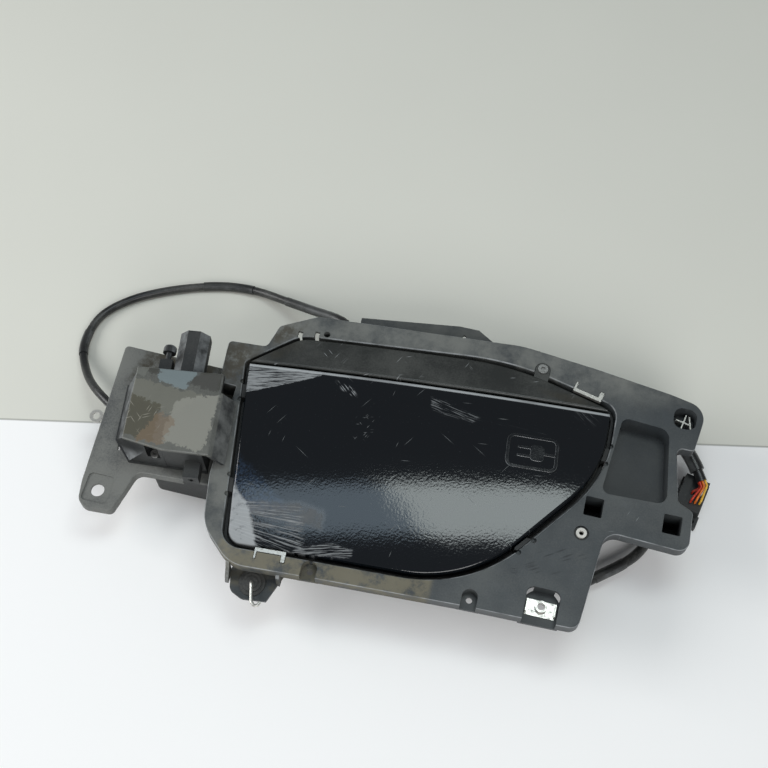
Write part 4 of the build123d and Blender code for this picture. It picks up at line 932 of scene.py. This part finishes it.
class PORTFLAP_OT_finishes(bpy.types.Operator):
    """Make every finish and give it to the pieces of the frame"""

    bl_idname = "port_flap.finishes"
    bl_label = "Finishes"

    def execute(self, context):
        settings = context.scene.port_flap_finish
        make_groups()
        frame_finish(settings)
        flap_finish(settings)
        cover_finish(settings)
        dusty_plastic("pocket plastic", settings.inner_colour, settings, 0.06)
        bracket_finish(settings)
        dusty_plastic("sensor plastic", (0.0095, 0.011, 0.012), settings, 0.1)
        sensor_cover_finish(settings)
        rubber_finish(settings)
        dusty_plastic("pale plastic", (0.6, 0.59, 0.55), settings, 0.5, 0.4, 0.05)
        metal_finish("clip metal", (0.62, 0.61, 0.57), 0.32)
        metal_finish("screw steel", (0.3, 0.3, 0.29), 0.4)
        cable_finish(settings)
        # near black: painted shade deep in the clip sockets and the boss
        dusty_plastic("deep shade plastic", (0.003, 0.003, 0.0032), settings, 0.02, 0.6, 0.1, 0.0)
        dusty_plastic("cord tape", (0.01, 0.0105, 0.011), settings, 0.12, 0.3, 0.2, 0.2)
        # the sign's edges are lightened both as wear and as a painted highlight
        dusty_plastic("sign paint", settings.flap_colour, settings, 0.004, 0.12, 0.02, 0.6)
        for name, colour in JACKET_COLOURS.items():
            jacket_finish(name, colour)
        for row in frame["record"]["subparts"]:
            node = frame["nodes"][row["node"]]
            finish = bpy.data.materials[FINISH_OF_SLOT[row["material_slot"]]]
            for place in node.material_slots:
                place.material = finish
        return {"FINISHED"}


# Small pieces


def hand_over(name, data, body):
    """Makes an object of a mesh or a curve, which rides on a body."""
    piece = bpy.data.objects.new(name, data)
    bpy.context.scene.collection.objects.link(piece)
    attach(piece, body)
    return piece


def finish_piece(name, shape, finish, body):
    """Makes an object of a bmesh, given in millimetres, and hands it to its body."""
    bmesh.ops.scale(shape, vec=(0.001, 0.001, 0.001), verts=shape.verts)
    bmesh.ops.recalc_face_normals(shape, faces=shape.faces)
    mesh = bpy.data.meshes.new(name)
    shape.to_mesh(mesh)
    shape.free()
    mesh.materials.append(bpy.data.materials[finish])
    hand_over(name, mesh, body)


def round_off(shape, geom, offset, affect, segments):
    """Rounds corners or edges of a bmesh."""
    bmesh.ops.bevel(
        shape,
        geom=geom,
        offset=offset,
        offset_type="OFFSET",
        affect=affect,
        segments=segments,
        profile=0.5,
        material=-1,
    )


def raised_shape(centre, size, corner, height, band=0.0, edge=0.38):
    """Rounded plate, or a rounded frame when a band is given, with softened upper edges."""
    shape = bmesh.new()
    bmesh.ops.create_grid(shape, x_segments=1, y_segments=1, size=0.5)
    bmesh.ops.scale(shape, vec=(size[0], size[1], 1), verts=shape.verts)
    bmesh.ops.translate(shape, vec=(centre[0], centre[1], 0), verts=shape.verts)
    round_off(shape, shape.verts[:], corner, "VERTICES", 6)
    if band:
        bmesh.ops.inset_individual(shape, faces=shape.faces[:], thickness=band)
        middle = max(shape.faces, key=lambda face: len(face.verts))
        bmesh.ops.delete(shape, geom=[middle], context="FACES")
    raised = bmesh.ops.extrude_face_region(shape, geom=shape.faces[:])["geom"]
    corners = [part for part in raised if isinstance(part, bmesh.types.BMVert)]
    bmesh.ops.translate(shape, vec=(0, 0, height), verts=corners)
    bmesh.ops.recalc_face_normals(shape, faces=shape.faces)
    rims = [
        line
        for line in shape.edges
        if len(line.link_faces) == 2
        and all(corner.co.z > height / 2 for corner in line.verts)
        and abs(line.link_faces[0].normal.z - line.link_faces[1].normal.z) > 0.5
    ]
    round_off(shape, rims, edge, "EDGES", 3)
    return shape


def crown_height(place):
    """Height of the flap's crowned surface, in millimetres."""
    fall = CROWN_FALL_UP if place.y > CROWN_LINE else CROWN_FALL_DOWN
    drop = (place.y - CROWN_LINE) ** 2 / (2 * fall) + place.x**2 / (2 * CROWN_FALL_SIDE)
    return CROWN_TOP - drop


class PORTFLAP_OT_sign(bpy.types.Operator):
    """Raise the plug sign on the flap"""

    bl_idname = "port_flap.sign"
    bl_label = "Plug sign"

    def execute(self, context):
        settings = context.scene.port_flap_details
        height = settings.sign_height * 1000 + SIGN_SUNK
        plates = (
            # middle, size, corner, width of the band
            ((0, 0), (36, 25.6), 5.5, 2.2),
            ((3.5, 0), (9.5, 12), 2.6, 0),
            ((-5.5, 3.2), (9.5, 2), 0.8, 0),
            ((-5.5, -3.2), (9.5, 2), 0.8, 0),
            ((12.5, 0), (10, 2.2), 0.8, 0),
        )
        whole = bmesh.new()
        for middle, size, corner, band in plates:
            part = raised_shape(middle, size, corner, height, band)
            mesh = bpy.data.meshes.new("sign part")
            part.to_mesh(mesh)
            part.free()
            whole.from_mesh(mesh)
            bpy.data.meshes.remove(mesh)
        turn = Matrix.Rotation(settings.sign_turn, 3, "Z")
        bmesh.ops.rotate(whole, cent=(0, 0, 0), matrix=turn, verts=whole.verts)
        bmesh.ops.translate(whole, vec=(*SIGN_PLACE, -SIGN_SUNK), verts=whole.verts)
        for point in whole.verts:
            point.co.z += crown_height(point.co)
        finish_piece("flap_sign", whole, "sign paint", "flap")
        return {"FINISHED"}


class PORTFLAP_OT_wells(bpy.types.Operator):
    """Close the clip sockets and the boss from below"""

    bl_idname = "port_flap.wells"
    bl_label = "Blind wells"

    def execute(self, context):
        depth = context.scene.port_flap_details.well_depth * 1000
        # near-black wells and boss floor, as painted shade down in the holes
        for name, place in SOCKET_PLACES.items():
            shape = bmesh.new()
            bmesh.ops.create_cube(shape, size=1)
            bmesh.ops.scale(shape, vec=(*SOCKET_SIZE, depth), verts=shape.verts)
            bmesh.ops.translate(shape, vec=(*place, SOCKET_WELL_TOP - depth / 2), verts=shape.verts)
            lid = [face for face in shape.faces if face.normal.z > 0.9]
            bmesh.ops.delete(shape, geom=lid, context="FACES_ONLY")
            bmesh.ops.recalc_face_normals(shape, faces=shape.faces)
            bmesh.ops.solidify(shape, geom=shape.faces[:], thickness=-WELL_WALL)
            finish_piece(name, shape, "deep shade plastic", "housing")
        shape = bmesh.new()
        bmesh.ops.create_cone(
            shape,
            cap_ends=True,
            segments=32,
            radius1=BOSS_FLOOR_RADIUS,
            radius2=BOSS_FLOOR_RADIUS,
            depth=BOSS_FLOOR_THICKNESS,
        )
        bmesh.ops.translate(shape, vec=(*BOSS_PLACE, BOSS_FLOOR_HEIGHT), verts=shape.verts)
        finish_piece("boss_floor", shape, "deep shade plastic", "housing")
        return {"FINISHED"}


# Stage


def camera_direction(settings):
    """From the point that the camera looks at to the camera."""
    flat = math.cos(settings.elevation)
    x = math.sin(settings.azimuth) * flat
    y = -math.cos(settings.azimuth) * flat
    return Vector((x, y, math.sin(settings.elevation)))


def add_softbox(name, place, aim, size, power):
    light = bpy.data.lights.new(name, "AREA")
    light.shape = "RECTANGLE"
    light.size, light.size_y = size
    light.energy = power
    lamp = bpy.data.objects.new(name, light)
    lamp.location = place
    lamp.rotation_euler = (Vector(aim) - Vector(place)).to_track_quat("-Z", "Y").to_euler()
    bpy.context.scene.collection.objects.link(lamp)
    return lamp


def floor_finish(settings):
    tree, shader, place = new_finish("floor")
    parts = axes(tree, place)
    edge = times(tree, parts["X"], FLOOR_EDGE_SLOPE)
    beyond = calculate(tree, "SUBTRACT", parts["Y"], edge)
    near_end, far_start = FLOOR_EDGE_Y - FLOOR_EDGE_SOFTNESS, FLOOR_EDGE_Y + FLOOR_EDGE_SOFTNESS
    far = step(tree, beyond, near_end, far_start)
    mottle = noise(tree, place, 6.0, 3.0, 0.5)
    paler = rgba([c * 1.05 for c in settings.far_floor])
    far_colour = mix_colours(tree, mottle, rgba(settings.far_floor), paler)
    colour = mix_colours(tree, far, rgba(settings.near_floor), far_colour)
    # painted shade: a dark line along the far edge of the sheet
    from_edge = calculate(tree, "ABSOLUTE", calculate(tree, "SUBTRACT", beyond, FLOOR_EDGE_Y))
    line = step(tree, from_edge, 0.0011, 0.0003)
    colour = coat(tree, colour, line, 0.55, (0.12, 0.12, 0.1, 1))
    dress(tree, shader, colour, 0.9)


class PORTFLAP_OT_stage(bpy.types.Operator):
    """Set up the camera, the pale floor and the soft light"""

    bl_idname = "port_flap.stage"
    bl_label = "Stage"

    def execute(self, context):
        settings = context.scene.port_flap_stage
        scene = context.scene
        aim = Vector(AIM_POINT)
        view = bpy.data.cameras.new("camera")
        view.sensor_fit = "HORIZONTAL"
        view.angle = settings.view_angle
        camera = bpy.data.objects.new("camera", view)
        camera.location = aim + camera_direction(settings) * settings.distance
        camera.rotation_euler = (aim - camera.location).to_track_quat("-Z", "Y").to_euler()
        scene.collection.objects.link(camera)
        scene.camera = camera

        mesh = bpy.data.meshes.new("floor")
        shape = bmesh.new()
        bmesh.ops.create_grid(shape, x_segments=1, y_segments=1, size=settings.floor_size / 2)
        shape.to_mesh(mesh)
        shape.free()
        floor = bpy.data.objects.new("floor", mesh)
        scene.collection.objects.link(floor)
        floor_finish(settings)
        mesh.materials.append(bpy.data.materials["floor"])

        world = bpy.data.worlds.new("even sky")
        scene.world = world
        world.use_nodes = True
        sky = world.node_tree.nodes["Background"]
        sky.inputs["Color"].default_value = (0.94, 0.97, 1.0, 1)
        sky.inputs["Strength"].default_value = settings.sky_strength
        for side, place, size, power, colour in (
            ("right", (0.22, 0.32, 1.5), (0.62, 0.34), settings.overhead_power, (0.9, 1.0, 1.0)),
            ("left", (-0.27, 0.06, 1.5), (0.5, 0.3), settings.overhead_power * 0.3, (0.66, 0.84, 1.0)),
        ):
            overhead = add_softbox(side + " softbox", place, place[:2] + (0.0,), size, power)
            overhead.rotation_euler = (0, 0, settings.overhead_turn)
            overhead.data.color = colour
        fill_places = {"front fill": (0.6, -1.4, 1.2), "left fill": (-1.5, -0.2, 1.0)}
        for name, place in fill_places.items():
            add_softbox(name, place, LIGHTS_AIM, (1.0, 1.0), settings.fill_power)
        scene.view_settings.view_transform = "Standard"
        return {"FINISHED"}


# Cords

# Routes of the cords, in millimetres, the same points as in the part's source
LOOP_ROUTE = [
    (-38.0, 84.2, 34.0),
    (-45, 97, 40),
    (-60, 109.5, 42),
    (-85, 119, 29),
    (-116, 132, 12.5),
    (-141, 140, 4.5),
    (-168, 138.5, 3.3),
    (-194, 130.5, 3.25),
    (-216, 121, 3.3),
    (-237, 108.5, 3.25),
    (-254, 91, 3.3),
    (-258.5, 73, 3.25),
    (-257, 55, 4.2),
    (-247, 38, 10),
    (-235, 23.5, 19),
    (-219, 11, 26),
    (-201, 1.5, 24.5),
    (-184, -6, 22),
    (-164.16, -6, 22),
]
LEAD_ROUTE = [
    (106, -35.9, 19),
    (117, -43.5, 16.5),
    (131.5, -46.8, 13.5),
    (147, -42, 11),
    (161.5, -29.5, 10),
    (175, -18.4, 9.5),
    (186, -6.5, 9.2),
    (192, 8, 10),
    (190, 23, 13),
    (181, 37.5, 16),
    (170, 51, 18.5),
    (167.5, 68, 21),
    (178.5, 81.5, 23),
    (196, 83.5, 24.5),
    (211, 70, 24),
    (220.5, 54, 21.5),
]


def tube_curve(name, kind, places, diameter):
    """A curve with one spline through places in metres, thick enough to be a cord."""
    curve = bpy.data.curves.new(name, "CURVE")
    curve.dimensions = "3D"
    line = curve.splines.new(kind)
    line.points.add(len(places) - 1)
    for point, place in zip(line.points, places):
        point.co = (*place, 1)
    curve.bevel_depth = diameter / 2
    curve.bevel_resolution = 6
    curve.use_fill_caps = True
    return curve


def lay_cord(name, node, route, diameter):
    """Smooth tube along a route in millimetres, which stands for a node."""
    places = [[c / 1000 for c in place] for place in route]
    curve = tube_curve(name, "NURBS", places, diameter)
    curve.splines[0].order_u = 3
    curve.splines[0].use_endpoint_u = True
    curve.resolution_u = 12
    curve.materials.append(bpy.data.materials["taped cable"])
    cord = hand_over(name, curve, "housing")
    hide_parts(node)
    return cord


def along_cord(cord):
    """Points of a cord's own line."""
    line = cord.data.copy()
    line.bevel_depth = 0
    twin = bpy.data.objects.new("line of " + cord.name, line)
    mesh = bpy.data.meshes.new_from_object(twin)
    points = [corner.co.copy() for corner in mesh.vertices]
    bpy.data.objects.remove(twin)
    return points


def wrap_cord(name, cord, first, last, diameter):
    """Closed sleeve round a cord between two shares of its points, kept off the floor."""
    points = along_cord(cord)
    chosen = points[int(first * (len(points) - 1)) : int(last * (len(points) - 1)) + 1]
    lift = max(0.0, diameter / 2 - min(place.z for place in chosen))
    places = [(place.x, place.y, place.z + lift) for place in chosen]
    curve = tube_curve(name + " line", "POLY", places, diameter)
    tube = bpy.data.objects.new(name + " tube", curve)
    mesh = bpy.data.meshes.new_from_object(tube)
    bpy.data.objects.remove(tube)
    mesh.name = name
    mesh.materials.clear()
    mesh.materials.append(bpy.data.materials["cord tape"])
    mesh.shade_smooth()
    return hand_over(name, mesh, "housing")


class PORTFLAP_OT_cords(bpy.types.Operator):
    """Lay the looped cable and the lead to the plug"""

    bl_idname = "port_flap.cords"
    bl_label = "Cords"

    def execute(self, context):
        settings = context.scene.port_flap_cords
        loop = lay_cord("loop_cable_tube", "loop_cable", LOOP_ROUTE, settings.loop_diameter)
        tape = 2 * context.scene.port_flap_details.tape_wall
        stretches = (("start", 0.08, 0.2), ("middle", 0.27, 0.36), ("end", 0.62, 0.69))
        wraps = [
            wrap_cord("loop_tape_" + place, loop, first, last, settings.loop_diameter + tape)
            for place, first, last in stretches
        ]
        lead = lay_cord("lower_lead_tube", "lower_lead", LEAD_ROUTE, settings.lead_diameter)
        wraps = [
            wrap_cord("lead_tape", lead, 0.24, 0.34, settings.lead_diameter + tape),
            wrap_cord("lead_sleeve", lead, 0.8, 0.985, settings.lead_diameter + 4 * tape),
        ]
        return {"FINISHED"}


class PORTFLAP_PT_panel(bpy.types.Panel):
    """Lists the steps that build the looks"""

    bl_idname = "PORTFLAP_PT_panel"
    bl_label = "Port Flap"
    bl_space_type = "VIEW_3D"
    bl_region_type = "UI"
    bl_category = "Port Flap"

    def draw(self, context):
        for step_class in OPERATORS:
            self.layout.operator(step_class.bl_idname)


SETTINGS = (StageSettings, CordSettings, DetailSettings, FinishSettings)
OPERATORS = (
    PORTFLAP_OT_stage,
    PORTFLAP_OT_finishes,
    PORTFLAP_OT_cords,
    PORTFLAP_OT_sign,
    PORTFLAP_OT_wells,
)


def register():
    for one in SETTINGS + OPERATORS + (PORTFLAP_PT_panel,):
        bpy.utils.register_class(one)
    bpy.types.Scene.port_flap_stage = PointerProperty(type=StageSettings)
    bpy.types.Scene.port_flap_cords = PointerProperty(type=CordSettings)
    bpy.types.Scene.port_flap_details = PointerProperty(type=DetailSettings)
    bpy.types.Scene.port_flap_finish = PointerProperty(type=FinishSettings)


def unregister():
    del bpy.types.Scene.port_flap_finish
    del bpy.types.Scene.port_flap_details
    del bpy.types.Scene.port_flap_cords
    del bpy.types.Scene.port_flap_stage
    for one in reversed(SETTINGS + OPERATORS + (PORTFLAP_PT_panel,)):
        bpy.utils.unregister_class(one)


def main():
    register()
    bpy.ops.port_flap.stage()
    bpy.ops.port_flap.finishes()
    bpy.ops.port_flap.cords()
    bpy.ops.port_flap.sign()
    bpy.ops.port_flap.wells()


if __name__ == "__main__":
    main()
